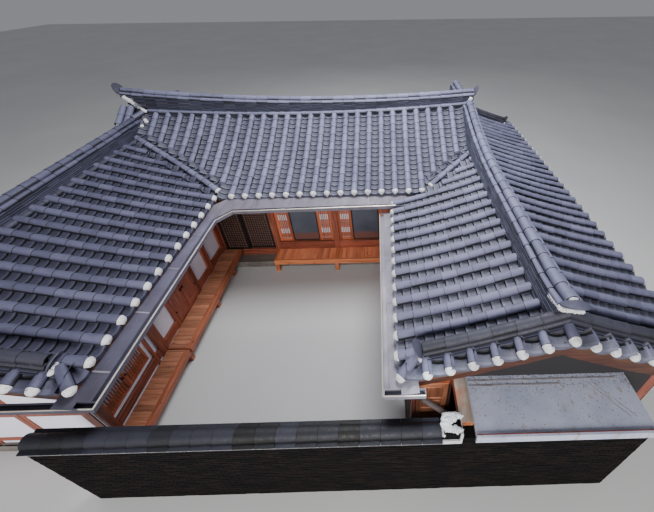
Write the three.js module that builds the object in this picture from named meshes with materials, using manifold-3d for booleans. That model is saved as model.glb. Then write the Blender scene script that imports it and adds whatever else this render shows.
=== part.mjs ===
// A courtyard hanok: a main house with a lower wing at each side, open to the front.
// Millimetres, +Z up, +Y to the rear, origin on the ground under the main ridge, midway between the valleys.
import * as THREE from 'three';
import { mergeVertices } from 'three/addons/utils/BufferGeometryUtils.js';
import Module from 'manifold-3d';

const wasm = await Module();
wasm.setup();

// Driving dimensions
const SEAT = 0.3; // gap left between pieces that touch
const SLAB = 160; // boards and clay under the roof tiles
const TOP = 9000; // higher than anything on the house
const TILE_DEPTH = 100; // from the middle of an eave tile's end down to the roof deck

const BASE_TOP = 210; // stone base
const FLOOR_TOP = 540; // floors of the wings
const SILL_TOP = 570;
const MAIN_FLOOR_TOP = 400;
const MAIN_SILL = 430; // sill of the main doors, level with their porch
const WALL_CORE = 70; // plastered core behind the timber frame
const FRAME = 60; // depth of the timber frame in front of the core
const OUTER_WALL = 150; // plain walls at the back and the sides
const POST = 160;

const MAIN = { eaveZ: 2832, half: 2550, left: -5700, right: 3671, slope: 0.284, curve: 6.9e-5, lean: 0.0145 };
const LEFT = {
  inner: -2595, ridge: -5277, outer: -7030, front: -6950, rear: 2150, eaveZ: 2836, slope: 0.223, curve: 2.5e-5,
};
const RIGHT = {
  inner: 1556, ridge: 3671, outer: 5786, front: -6790, rear: 2150, eaveZ: 2637, slope: 0.257, curve: 3.7e-5,
};
const FRONT_Y = -1830; // front face of the main house
const REAR_Y = 1650; // rear face of the house
const LEFT_X = { inner: -3360, outer: -6690 };
const RIGHT_X = { inner: 1760, outer: 5582 };
const GABLE_Y = -6550; // front face of both wings
const MAIN_POSTS = [-1805, -85, 1635];

const COLOURS = {
  tile: 0x565a66,
  plaster: 0xd8d6d4,
  wood: 0xa9562c,
  darkWood: 0x4a3226,
  stone: 0x8d8a84,
  brick: 0x4c4745,
  metal: 0x9aa0a4,
  glass: 0x3c444c,
  floor: 0xb98a58,
  whitePaint: 0xdcdcd6,
};

// Solids and booleans

function solidOf(geometry) {
  const plain = geometry.clone();
  plain.deleteAttribute('normal');
  plain.deleteAttribute('uv');
  const merged = mergeVertices(plain, 1e-3);
  const vertProperties = new Float32Array(merged.attributes.position.array);
  const triVerts = new Uint32Array(merged.index.array);
  return new wasm.Manifold(new wasm.Mesh({ numProp: 3, vertProperties, triVerts }));
}

function geometryOf(solid) {
  const mesh = solid.getMesh();
  const geometry = new THREE.BufferGeometry();
  geometry.setAttribute('position', new THREE.BufferAttribute(new Float32Array(mesh.vertProperties), 3));
  geometry.setIndex(new THREE.BufferAttribute(new Uint32Array(mesh.triVerts), 1));
  geometry.computeVertexNormals();
  return geometry;
}

function block(x, y, z) {
  const geometry = new THREE.BoxGeometry(x[1] - x[0], y[1] - y[0], z[1] - z[0]);
  geometry.translate((x[0] + x[1]) / 2, (y[0] + y[1]) / 2, (z[0] + z[1]) / 2);
  return solidOf(geometry);
}

function join(solids) {
  return solids.reduce((sum, solid) => sum.add(solid));
}

function prism(outline, z) {
  const shape = new THREE.Shape(outline.map(([x, y]) => new THREE.Vector2(x, y)));
  const geometry = new THREE.ExtrudeGeometry(shape, { depth: z[1] - z[0], bevelEnabled: false });
  geometry.translate(0, 0, z[0]);
  return solidOf(geometry);
}

// A closed body between two height functions over a grid of x and y values.
function layer(xs, ys, topAt, bottomAt) {
  const positions = [];
  for (const heightAt of [bottomAt, topAt]) {
    for (const y of ys) {
      for (const x of xs) {
        positions.push(x, y, heightAt(x, y));
      }
    }
  }
  const row = xs.length;
  const upper = row * ys.length;
  const index = [];
  const quad = (a, b, c, d) => index.push(a, b, c, a, c, d);
  for (let j = 0; j < ys.length - 1; j += 1) {
    for (let i = 0; i < row - 1; i += 1) {
      const a = j * row + i;
      quad(upper + a, upper + a + 1, upper + a + row + 1, upper + a + row);
      quad(a, a + row, a + row + 1, a + 1);
    }
  }
  const last = (ys.length - 1) * row;
  for (let i = 0; i < row - 1; i += 1) {
    quad(i, i + 1, upper + i + 1, upper + i);
    quad(last + i + 1, last + i, upper + last + i, upper + last + i + 1);
  }
  for (let j = 0; j < ys.length - 1; j += 1) {
    const a = j * row;
    const b = a + row - 1;
    quad(a + row, a, upper + a, upper + a + row);
    quad(b, b + row, upper + b + row, upper + b);
  }
  const geometry = new THREE.BufferGeometry();
  geometry.setAttribute('position', new THREE.BufferAttribute(new Float32Array(positions), 3));
  geometry.setIndex(index);
  return solidOf(geometry);
}

// A closed body through equal loops of points, with flat ends.
function loft(loops) {
  const count = loops[0].length;
  const positions = loops.flat().flatMap((p) => [p.x, p.y, p.z]);
  const faces = [];
  for (let j = 0; j < loops.length - 1; j += 1) {
    for (let i = 0; i < count; i += 1) {
      const a = j * count + i;
      const b = j * count + ((i + 1) % count);
      faces.push([a, b, b + count], [a, b + count, a + count]);
    }
  }
  const last = (loops.length - 1) * count;
  capFaces(loops[0]).forEach(([a, b, c]) => faces.push([a, c, b]));
  capFaces(loops[loops.length - 1]).forEach(([a, b, c]) => faces.push([last + a, last + b, last + c]));
  const turned = enclosed(positions, faces) < 0;
  const outward = faces.map(([a, b, c]) => (turned ? [a, c, b] : [a, b, c]));
  const geometry = new THREE.BufferGeometry();
  geometry.setAttribute('position', new THREE.BufferAttribute(new Float32Array(positions), 3));
  geometry.setIndex(outward.flat());
  return solidOf(geometry);
}

// Triangles of a flat upright loop, wound the way the loop runs.
function capFaces(loop) {
  const offsets = loop.map((p) => new THREE.Vector3().subVectors(p, loop[0]).setZ(0));
  const side = offsets.reduce((far, o) => (o.length() > far.length() ? o : far)).clone().normalize();
  const flat = loop.map((p) => new THREE.Vector2(p.x * side.x + p.y * side.y, p.z));
  const turn = Math.sign(THREE.ShapeUtils.area(flat));
  const faces = THREE.ShapeUtils.triangulateShape(flat, []);
  return faces.map((f) => (turn * THREE.ShapeUtils.area(f.map((i) => flat[i])) > 0 ? f : [f[0], f[2], f[1]]));
}

// Signed volume of a closed set of triangles.
function enclosed(positions, faces) {
  const point = (i) => new THREE.Vector3().fromArray(positions, 3 * i);
  return faces.reduce((sum, [a, b, c]) => sum + point(a).dot(point(b).cross(point(c))), 0);
}

function steps(from, to, count) {
  return Array.from({ length: count + 1 }, (_, i) => from + ((to - from) * i) / count);
}

// Roof surfaces: the deck that the tiles lie on

function mainDeck(x, y) {
  const d = MAIN.half - Math.abs(y);
  const rise = (9e-6 * (x + 240) ** 2 * d) / MAIN.half;
  return MAIN.eaveZ - TILE_DEPTH + MAIN.lean * x + MAIN.slope * d + MAIN.curve * d * d + rise;
}

function wingDeck(wing, x, y) {
  const half = Math.abs(wing.ridge - wing.inner);
  const d = half - Math.abs(x - wing.ridge);
  const middle = (wing.front + wing.rear) / 2;
  const along = (y - middle) / (wing.rear - middle);
  const rise = (100 * along ** 6 * d) / half;
  return wing.eaveZ - TILE_DEPTH + wing.slope * d + wing.curve * d * d + rise;
}

const leftDeck = (x, y) => wingDeck(LEFT, x, y);
const rightDeck = (x, y) => wingDeck(RIGHT, x, y);

function wingSpan(wing) {
  const low = Math.min(wing.inner, wing.outer);
  const high = Math.max(wing.inner, wing.outer);
  return [...steps(low, wing.ridge, 6).slice(0, -1), ...steps(wing.ridge, high, 6)];
}

function wingLength(wing) {
  return steps(wing.front, wing.rear, 10);
}

const MAIN_XS = steps(MAIN.left, MAIN.right, 10);
const MAIN_YS = steps(-MAIN.half, MAIN.half, 12);

// Where the main deck meets a wing's deck, at a given x on the front half.
function valleyY(x, deck) {
  let low = -MAIN.half;
  let high = 0;
  if (mainDeck(x, low) > deck(x, low)) {
    return low;
  }
  for (let i = 0; i < 40; i += 1) {
    const y = (low + high) / 2;
    if (mainDeck(x, y) < deck(x, y)) {
      low = y;
    } else {
      high = y;
    }
  }
  return low;
}

// The main roof in plan: eaves, valleys and the short gable past the left wing's ridge.
function mainPlan(grow) {
  const left = steps(LEFT.inner, LEFT.ridge, 4).concat([MAIN.left]);
  const right = steps(RIGHT.inner + 900, MAIN.right, 3);
  const leftEdge = left.map((x) => [x, valleyY(x, leftDeck) - grow]);
  const rightEdge = right.map((x) => [x, valleyY(x, rightDeck) - grow]);
  const front = [...leftEdge.reverse(), [LEFT.inner + SEAT - grow, -MAIN.half - grow], ...rightEdge];
  const rear = front.map(([x, y]) => [x, -y]).reverse();
  front[0][0] -= grow;
  rear[rear.length - 1][0] -= grow;
  front[front.length - 1][0] += grow;
  rear[0][0] += grow;
  return front.concat(rear);
}

function mainRoof() {
  const slab = layer(MAIN_XS, MAIN_YS, mainDeck, (x, y) => mainDeck(x, y) - SLAB);
  const roof = slab.intersect(prism(mainPlan(0), [0, TOP]));
  const reach = valleyY(MAIN.left, leftDeck);
  const skirt = block([MAIN.left + 1, MAIN.left + 100], [reach + 60, -reach - 60], [3000, TOP]);
  const closed = skirt.subtract(above(mainDeck, -80)).subtract(below(LEFT_SURFACE, SEAT));
  const drop = valleyY(MAIN.right, rightDeck);
  const wall = block([MAIN.right - 100, MAIN.right], [drop + 5, -drop - 5], [2800, TOP]);
  return roof.add(closed).add(wall.subtract(above(mainDeck, -80)).subtract(below(RIGHT_SURFACE, -SLAB)));
}

const MAIN_SURFACE = { xs: MAIN_XS, ys: MAIN_YS, deck: mainDeck };
const LEFT_SURFACE = { xs: wingSpan(LEFT), ys: wingLength(LEFT), deck: leftDeck };
const RIGHT_SURFACE = { xs: wingSpan(RIGHT), ys: wingLength(RIGHT), deck: rightDeck };

// Everything under a roof's deck, raised by a little.
function below(surface, raise) {
  return layer(surface.xs, surface.ys, (x, y) => surface.deck(x, y) + raise, () => 0);
}

function above(deck, raise) {
  return layer(MAIN_XS, MAIN_YS, () => TOP, (x, y) => deck(x, y) + raise);
}

// The space taken by a roof and what is over it, down to just under its soffit.
function cover(surface) {
  const xs = widened(surface.xs);
  const ys = widened(surface.ys);
  return layer(xs, ys, () => TOP, (x, y) => surface.deck(x, y) - SLAB - SEAT);
}

function widened(stations) {
  const last = stations.length - 1;
  return [stations[0] - SEAT, ...stations.slice(1, last), stations[last] + SEAT];
}

const MAIN_COVER = cover(MAIN_SURFACE).intersect(prism(mainPlan(SEAT), [0, TOP]));
const LEFT_COVER = cover(LEFT_SURFACE).subtract(prism(mainPlan(0), [0, TOP]));
const RIGHT_COVER = cover(RIGHT_SURFACE).subtract(prism(mainPlan(0), [0, TOP]));

function leftRoof() {
  const slab = layer(LEFT_SURFACE.xs, LEFT_SURFACE.ys, leftDeck, (x, y) => leftDeck(x, y) - SLAB);
  const room = prism(mainPlan(SEAT), [0, TOP]).subtract(block([-TOP, LEFT.ridge], [-TOP, TOP], [0, TOP]));
  return slab.subtract(MAIN_COVER).subtract(room);
}

function rightRoof() {
  const slab = layer(RIGHT_SURFACE.xs, RIGHT_SURFACE.ys, rightDeck, (x, y) => rightDeck(x, y) - SLAB);
  return slab.subtract(prism(mainPlan(SEAT), [0, TOP]));
}

// Ridges of stacked tiles: a wide stack with a round top row

function ridgeLoop(at, side, base, top, width) {
  const wide = width / 2;
  const round = width * 0.24;
  const shoulder = top - width * 0.42;
  const profile = [
    [-wide, base], [wide, base], [wide, shoulder], [round, shoulder + 20], [round, top - 40],
    [round * 0.5, top], [-round * 0.5, top], [-round, top - 40], [-round, shoulder + 20], [-wide, shoulder],
  ];
  return profile.map(([o, z]) => new THREE.Vector3(at[0] + side[0] * o, at[1] + side[1] * o, z));
}

const MAIN_RIDGE_ENDS = [-5600, 3800];

function mainRidgeTop(x) {
  return 4310 + 10e-6 * x ** 2;
}

function mainRidgeBody(grow) {
  const xs = steps(MAIN_RIDGE_ENDS[0], MAIN_RIDGE_ENDS[1], 10);
  const loops = xs.map((x) => ridgeLoop([x, 0], [0, 1], 3300 - grow, mainRidgeTop(x) + grow, 340 + 2 * grow));
  return loft(loops);
}

// The crescent tile that closes the end of a ridge.
function crescent(at, yaw, radius) {
  const shape = new THREE.Shape();
  shape.absarc(0, 0, radius, 0, Math.PI, false);
  shape.lineTo(-radius, -radius * 0.5);
  shape.lineTo(radius, -radius * 0.5);
  const geometry = new THREE.ExtrudeGeometry(shape, { depth: 40, bevelEnabled: false, curveSegments: 8 });
  geometry.rotateX(Math.PI / 2 - 0.35);
  geometry.rotateZ(yaw);
  geometry.translate(...at);
  return solidOf(geometry);
}

function mainRidge() {
  const [left, right] = MAIN_RIDGE_ENDS;
  const leftEnd = crescent([left + 40, 0, mainRidgeTop(left) - 20], -Math.PI / 2, 170);
  const rightEnd = crescent([right, 0, mainRidgeTop(right) - 60], Math.PI / 2, 150);
  const vergeX = MAIN.left + 125;
  const verge = vergeRidge(mainDeck, [vergeX, -150], [vergeX, valleyY(MAIN.left, leftDeck) + 60], 230);
  const body = join([mainRidgeBody(0), leftEnd, rightEnd, verge]);
  return body.subtract(below(MAIN_SURFACE, SEAT)).subtract(below(LEFT_SURFACE, SEAT))
    .subtract(below(RIGHT_SURFACE, SEAT));
}

// A ridge that runs down a slope beside a gable.
function vergeRidge(deck, from, to, width = 260) {
  const run = new THREE.Vector2(to[0] - from[0], to[1] - from[1]).normalize();
  const loops = steps(0, 1, 6).map((t) => {
    const x = from[0] + (to[0] - from[0]) * t;
    const y = from[1] + (to[1] - from[1]) * t;
    return ridgeLoop([x, y], [-run.y, run.x], deck(x, y) - SLAB, deck(x, y) + 290, width);
  });
  return loft(loops);
}

function wingRidge(wing, ys, topAt, width, grow) {
  const wide = width + 2 * grow;
  return loft(ys.map((y) => ridgeLoop([wing.ridge, y], [-1, 0], 3000 - grow, topAt(y) + grow, wide)));
}

function rightRidgeTop(y) {
  const low = 3745;
  if (y > -3300) {
    return low + 55e-6 * (3300 + Math.min(y, -400)) ** 2;
  }
  return low + Math.max(0, -6150 - y) * 0.22;
}

function leftRidgeTop(y) {
  return 3930 + Math.max(0, y + 4300) * 0.016;
}

function wingVerges(wing, deck, ends) {
  const inset = Math.sign(wing.outer - wing.inner) * 330;
  return ends.flatMap((y) => [
    vergeRidge(deck, [wing.ridge, y], [wing.inner + inset, y]),
    vergeRidge(deck, [wing.ridge, y], [wing.outer - inset, y]),
  ]);
}

function rightRidges() {
  const frontY = RIGHT.front + 330;
  const rearY = RIGHT.rear - 330;
  const spine = wingRidge(RIGHT, steps(frontY - 60, rearY, 14), rightRidgeTop, 360, 0);
  const end = crescent([RIGHT.ridge, frontY - 20, rightRidgeTop(frontY) - 10], 0, 170);
  const body = join([spine, end, ...wingVerges(RIGHT, rightDeck, [frontY, rearY])]);
  const room = below(MAIN_SURFACE, SEAT).intersect(prism(mainPlan(SEAT), [0, TOP]));
  return body.subtract(below(RIGHT_SURFACE, SEAT)).subtract(room).subtract(mainRidgeClearance());
}

// Room for the main ridge over whatever passes under its right end.
function mainRidgeClearance() {
  const wide = mainRidgeBody(SEAT);
  const right = MAIN_RIDGE_ENDS[1];
  const tail = crescent([right, 0, mainRidgeTop(right) - 60], Math.PI / 2, 151);
  return wide.add(tail);
}

function leftRidges(yFrom, yTo, vergeY) {
  const spine = wingRidge(LEFT, steps(yFrom, yTo, 8), leftRidgeTop, 330, 0);
  const body = join([spine, ...wingVerges(LEFT, leftDeck, [vergeY])]);
  const room = below(MAIN_SURFACE, SEAT).intersect(prism(mainPlan(SEAT), [0, TOP]));
  return body.subtract(below(LEFT_SURFACE, SEAT)).subtract(room).subtract(mainRidgeBody(SEAT));
}

// Bargeboards under the edge of a gable's roof
function bargeboard(surface, y, eaveEnd) {
  const soffit = (x, at) => surface.deck(x, at) - SLAB;
  const board = layer(surface.xs, [y, y + 50], (x, at) => soffit(x, at) + 60, (x, at) => soffit(x, at) - 240);
  const cutOff = block(eaveEnd, [y - 1, y + 51], [0, TOP]);
  return board.subtract(cover(surface)).subtract(MAIN_COVER).subtract(cutOff);
}

// Walls reach up to the soffit of the roof over them

function wall(x, y, zFrom, holes = []) {
  let body = block(x, y, [zFrom + SEAT, TOP]);
  for (const [hx, hy, hz] of holes) {
    body = body.subtract(block(hx, hy, hz));
  }
  return underRoofs(body);
}

function underRoofs(body) {
  return body.subtract(MAIN_COVER).subtract(LEFT_COVER).subtract(RIGHT_COVER);
}

// A timber frame in one plane: posts, sill and lintel as one joined grid
function frameX(y, posts, span, beams, postFrom) {
  const bars = posts.map(([a, b]) => wall([a, b], y, postFrom));
  const rails = beams.map(([z0, z1, from = span[0], to = span[1]]) => block([from, to], y, [z0, z1]));
  return underRoofs(join([...bars, ...rails]));
}

function frameY(x, posts, span, beams, postFrom) {
  const bars = posts.map(([a, b]) => wall(x, [a, b], postFrom));
  const rails = beams.map(([z0, z1, from = span[0], to = span[1]]) => block(x, [from, to], [z0, z1]));
  return underRoofs(join([...bars, ...rails]));
}

// Main front: post positions and openings
const MAIN_CORE_Y = [FRONT_Y + FRAME + SEAT, FRONT_Y + FRAME + WALL_CORE];
const MAIN_FRAME_Y = [FRONT_Y, FRONT_Y + FRAME];
const BAY_WINDOWS = [[-1715, -175], [5, 1545]];
const WINDOW_Z = [680, 2360];
const DOOR_BAY = [-3330, -1890];
const MAIN_DOOR_Z = [MAIN_SILL, 2400];

function mainFrontWall() {
  const holes = BAY_WINDOWS.map((x) => [x, [FRONT_Y - 50, FRONT_Y + 300], WINDOW_Z]);
  return wall([DOOR_BAY[1], RIGHT_X.inner - SEAT], MAIN_CORE_Y, BASE_TOP, holes);
}

function mainDoorHead() {
  return wall([LEFT_X.inner + SEAT, DOOR_BAY[1] - SEAT], MAIN_CORE_Y, MAIN_DOOR_Z[1]);
}

function mainFrontFrame() {
  const posts = MAIN_POSTS.map((x) => [x - POST / 2, x + POST / 2]);
  const corner = [LEFT_X.inner + SEAT, DOOR_BAY[0]];
  const span = [corner[0], RIGHT_X.inner - SEAT];
  const threshold = [BASE_TOP + SEAT, MAIN_SILL - SEAT];
  const beams = [
    threshold, [BASE_TOP + SEAT, WINDOW_Z[0] - SEAT, posts[0][0], span[1]], [MAIN_DOOR_Z[1] + 6, 2600],
  ];
  const track = block([DOOR_BAY[0], DOOR_BAY[1] - SEAT], [FRONT_Y, MAIN_CORE_Y[1]], threshold);
  return frameX(MAIN_FRAME_Y, [corner, ...posts], span, beams, BASE_TOP).add(track);
}

// A glazed or latticed leaf set: rails and stiles round thin panes
function leafX(x, y, z, splits, pane) {
  const stile = 60;
  const edges = [x[0], ...splits, x[1]];
  const bars = edges.map((e, i) => {
    const from = i === 0 ? e : e - stile / 2;
    const to = i === edges.length - 1 ? e : e + stile / 2;
    return block([i === edges.length - 1 ? e - stile : from, i === 0 ? e + stile : to], y, z);
  });
  const middle = (y[0] + y[1]) / 2;
  const sheet = block(x, [middle - pane / 2, middle + pane / 2], z);
  const rails = [block(x, y, [z[0], z[0] + stile]), block(x, y, [z[1] - stile, z[1]])];
  return join([...bars, ...rails, sheet]);
}

function leafY(x, y, z, splits, pane) {
  const turned = leafX([y[0], y[1]], [-x[1], -x[0]], z, splits, pane);
  return turned.rotate([0, 0, 90]);
}

function bayWindow(bay) {
  const x = [bay[0] + SEAT, bay[1] - SEAT];
  const third = (x[1] - x[0]) * 0.27;
  return leafX(x, [FRONT_Y + FRAME, FRONT_Y + FRAME + 45], [WINDOW_Z[0] + SEAT, WINDOW_Z[1] - SEAT],
    [x[0] + third, x[1] - third], 14);
}

// Left wing towards the courtyard
const LEFT_CORE_X = [LEFT_X.inner - FRAME - WALL_CORE, LEFT_X.inner - FRAME - SEAT];
const LEFT_FRAME_X = [LEFT_X.inner - FRAME, LEFT_X.inner];
const LEFT_DOOR_Y = [-4350, -3470];
const LEFT_WINDOW = { y: [-6420, -5340], z: [760, 2250] };
const LEFT_DOOR_Z = [SILL_TOP, 2330];

function leftInnerFrame() {
  const posts = [
    [GABLE_Y, GABLE_Y + 120], [-5280, -5230], [-5110, -4910], [LEFT_DOOR_Y[0] - 90, LEFT_DOOR_Y[0]],
    [LEFT_DOOR_Y[1], LEFT_DOOR_Y[1] + 130], [-2800, -2620], [FRONT_Y - 180, FRONT_Y - SEAT],
  ];
  const span = [GABLE_Y, FRONT_Y - SEAT];
  const beams = [
    [500, SILL_TOP - SEAT], [500, 700, GABLE_Y, LEFT_DOOR_Y[0]],
    [500, 700, LEFT_DOOR_Y[1], FRONT_Y - SEAT], [LEFT_DOOR_Z[1] + 8, 2500],
  ];
  return frameY(LEFT_FRAME_X, posts, span, beams, BASE_TOP);
}

// Right wing towards the courtyard
const RIGHT_CORE_X = [RIGHT_X.inner + FRAME + SEAT, RIGHT_X.inner + FRAME + WALL_CORE];
const RIGHT_WINDOW = { y: [-4660, -3400], z: [760, 1900] };

function rightInnerFrame() {
  const posts = [
    [GABLE_Y, GABLE_Y + 100], [-4840, RIGHT_WINDOW.y[0]], [RIGHT_WINDOW.y[1], -3220], [FRONT_Y - 180, FRONT_Y],
  ];
  const beams = [[500, 700], [1910, 2060]];
  return frameY([RIGHT_X.inner, RIGHT_X.inner + FRAME], posts, [GABLE_Y, FRONT_Y], beams, BASE_TOP);
}

// Porches: a board deck with a front beam on square legs
const LEFT_PORCH = { x: [LEFT_X.inner + SEAT, -2860], y: [-4990, FRONT_Y - 50], top: 500 };
const LEFT_PORCH_LOW = { x: [LEFT_X.inner + SEAT, -2890], y: [-6540, -4980], top: 478 };
const MAIN_PORCH = { x: [-1835, RIGHT_X.inner - SEAT], y: [-2330, FRONT_Y - SEAT], top: 425 };

function porch({ x, y, top }, legs, beamX, beamY) {
  const deck = block(x, y, [top - 50, top]);
  const beam = block(beamX, beamY, [top - 160, top - 50 + 1]);
  const feet = legs.map(([lx, ly]) => block([lx - 55, lx + 55], [ly - 55, ly + 55], [0, top - 49]));
  return join([deck, beam, ...feet]);
}

function mainPorch() {
  const front = MAIN_PORCH.y[0];
  const legs = [-1780, -80, 1635].map((x) => [x, front + 55]);
  return porch(MAIN_PORCH, legs, MAIN_PORCH.x, [front, front + 100]);
}

function leftPorch() {
  const legs = [-4930, -3500, -2400].map((y) => [-3030, y]);
  const high = porch(LEFT_PORCH, legs, [-2960, -2860], LEFT_PORCH.y);
  const low = porch(LEFT_PORCH_LOW, [[-3030, -6450]], [-2990, -2890], LEFT_PORCH_LOW.y);
  return high.add(low);
}

// Doors that open
function slidingLeaf(x, y) {
  return leafX(x, y, [MAIN_DOOR_Z[0], MAIN_DOOR_Z[1] - 8], [], 16);
}

const LEAF_GAP = 6; // between the two plank leaves and the middle of their doorway
const LEFT_DOOR_MIDDLE = (LEFT_DOOR_Y[0] + LEFT_DOOR_Y[1]) / 2;

function plankLeaf(y) {
  return block([LEFT_X.inner - 38, LEFT_X.inner + 2], y, LEFT_DOOR_Z);
}

const PANEL_DOOR = { x: [1830, 2330], z: [BASE_TOP + SEAT, 1900] };

function panelDoor() {
  return block([PANEL_DOOR.x[0] + 7, PANEL_DOOR.x[1] - 7], [GABLE_Y - 2, GABLE_Y + 38], PANEL_DOOR.z);
}

// Sheet-metal gutters: a sloping apron and a square trough along a bent line
const GUTTER_METAL = 12;
const APRON = [[0, 0], [0, -80], [100, -80], [100, -20], [480, 50]];

function gutterLoop(at, inward) {
  const metal = GUTTER_METAL;
  const inner = [
    [480, 50 + metal], [100 - metal, -20 + metal], [100 - metal, -80 + metal], [metal, -80 + metal], [metal, 0],
  ];
  const place = ([o, z]) => new THREE.Vector3(at.x + inward.x * o, at.y + inward.y * o, at.z + z);
  return [...APRON, ...inner].map(place);
}

// Directions that keep the gutter's width through its bends.
function mitres(path) {
  const normals = [];
  for (let i = 0; i < path.length - 1; i += 1) {
    const run = new THREE.Vector2(path[i + 1].x - path[i].x, path[i + 1].y - path[i].y).normalize();
    normals.push(new THREE.Vector2(run.y, -run.x));
  }
  return path.map((_, i) => {
    const a = normals[Math.max(i - 1, 0)];
    const b = normals[Math.min(i, normals.length - 1)];
    const sum = new THREE.Vector2().addVectors(a, b).normalize();
    return sum.divideScalar(sum.dot(a));
  });
}

function gutter(points) {
  const path = points.map(([x, y, z]) => new THREE.Vector3(x, y, z));
  const inward = mitres(path);
  return loft(path.map((p, i) => gutterLoop(p, inward[i])));
}

function courtyardGutter() {
  const along = gutter([[2290, -2930, 2690], [-2080, -3010, 2670], [-2345, -3310, 2655], [-2270, -7110, 2640]]);
  const trough = block([-4600, -2272], [-7110, -7010], [2560, 2638]);
  const hollow = block([-4588, -2284], [-7098, -7022], [2572, 2660]);
  return clearOfRoofs(along.add(trough).subtract(hollow)).subtract(below(RIGHT_SURFACE, 30));
}

function clearOfRoofs(body) {
  return body.subtract(MAIN_COVER).subtract(cover(LEFT_SURFACE));
}

function rightGutter() {
  const along = gutter([[1330, -6990, 2500], [1235, -3000, 2500]]);
  const trough = block([1340, 1900], [-6990, -6890], [2420, 2498]);
  const hollow = block([1352, 1888], [-6978, -6902], [2432, 2520]);
  const outlet = new THREE.CylinderGeometry(36, 36, 60, 12).rotateX(Math.PI / 2).translate(1840, -6940, 2420);
  const body = along.add(trough).subtract(hollow).subtract(solidOf(outlet));
  return body.subtract(cover(RIGHT_SURFACE));
}

function downpipe() {
  const points = [[1840, -6940, 2420 - SEAT], [1840, -6940, 2330], [2190, -7040, 2080], [2190, -7040, 40]];
  const path = new THREE.CurvePath();
  for (let i = 0; i < points.length - 1; i += 1) {
    path.add(new THREE.LineCurve3(new THREE.Vector3(...points[i]), new THREE.Vector3(...points[i + 1])));
  }
  const ring = new THREE.Shape();
  ring.absarc(0, 0, 40, 0, Math.PI * 2, false);
  const settings = { steps: 24, bevelEnabled: false, extrudePath: path, curveSegments: 6 };
  return solidOf(new THREE.ExtrudeGeometry(ring, settings));
}

// Front wall of the courtyard, and the flat-roofed lean-to beside it
const FRONT_WALL = { x: [-3390, 2350], y: [-7320, -7110], top: 2010 };
const LEAN_TO = { x: [2370, 4900], front: -7320, top: 2040 };

function frontWall() {
  const run = block(FRONT_WALL.x, FRONT_WALL.y, [0, FRONT_WALL.top]);
  const pier = block([2110, 2350], FRONT_WALL.y, [0, 2200]);
  const leanTo = block([2349, LEAN_TO.x[1]], [LEAN_TO.front, LEAN_TO.front + 130], [0, LEAN_TO.top]);
  return join([run, pier, leanTo]);
}

function wallCap() {
  const outline = [[-140, 0], [140, 0], [100, 40], [62, 92], [0, 108], [-62, 92], [-100, 40]];
  const y = (FRONT_WALL.y[0] + FRONT_WALL.y[1]) / 2;
  const z = FRONT_WALL.top + SEAT;
  const loops = [FRONT_WALL.x[0], 2109].map((x) => outline.map(([o, h]) => new THREE.Vector3(x, y + o, z + h)));
  return loft(loops);
}

function leanToRoof() {
  const slab = block([2540, LEAN_TO.x[1] + 30], [LEAN_TO.front - 30, GABLE_Y - SEAT], [2041, 2100]);
  const rim = block([2540, LEAN_TO.x[1] + 30], [LEAN_TO.front - 30, LEAN_TO.front + 10], [1960, 2125]);
  return slab.add(rim.subtract(block([2300, 5000], [LEAN_TO.front - SEAT, 0], [0, 2041 - SEAT])));
}

function leanToSide() {
  return block([2390, 2520], [-7160, -6840], [0, 1960 - SEAT]);
}

// The model: one named mesh for each piece

const house = new THREE.Group();

function add(name, solid, colour, roughness = 0.8) {
  const material = new THREE.MeshStandardMaterial({ color: COLOURS[colour], roughness });
  material.metalness = colour === 'metal' ? 0.6 : 0;
  const mesh = new THREE.Mesh(geometryOf(solid), material);
  mesh.name = name;
  house.add(mesh);
}

function addBases() {
  const rear = REAR_Y + 60;
  const stone = [0, BASE_TOP];
  const [leftEdge, rightEdge] = [LEFT_X.inner + 100, RIGHT_X.inner - 60];
  add('main_base', block([leftEdge, rightEdge], [FRONT_Y - 290, rear], stone), 'stone');
  add('left_base', block([LEFT_X.outer - 60, leftEdge - SEAT], [GABLE_Y - 60, rear], stone), 'stone');
  add('right_base', block([rightEdge + SEAT, RIGHT_X.outer + 60], [GABLE_Y - 5, rear], stone), 'stone');
  const z = [BASE_TOP + SEAT, FLOOR_TOP];
  const back = REAR_Y - OUTER_WALL - SEAT;
  const inner = LEFT_CORE_X[0] - SEAT;
  const mainZ = [z[0], MAIN_FLOOR_TOP];
  const wingY = [GABLE_Y + OUTER_WALL + SEAT, back];
  add('main_floor', block([inner + SEAT, RIGHT_CORE_X[1]], [MAIN_CORE_Y[1] + SEAT, back], mainZ), 'floor');
  add('left_floor', block([LEFT_X.outer + OUTER_WALL + SEAT, inner], wingY, z), 'floor');
  add('right_floor', block([RIGHT_CORE_X[1] + SEAT, RIGHT_X.outer - OUTER_WALL - SEAT], wingY, z), 'floor');
}

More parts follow.
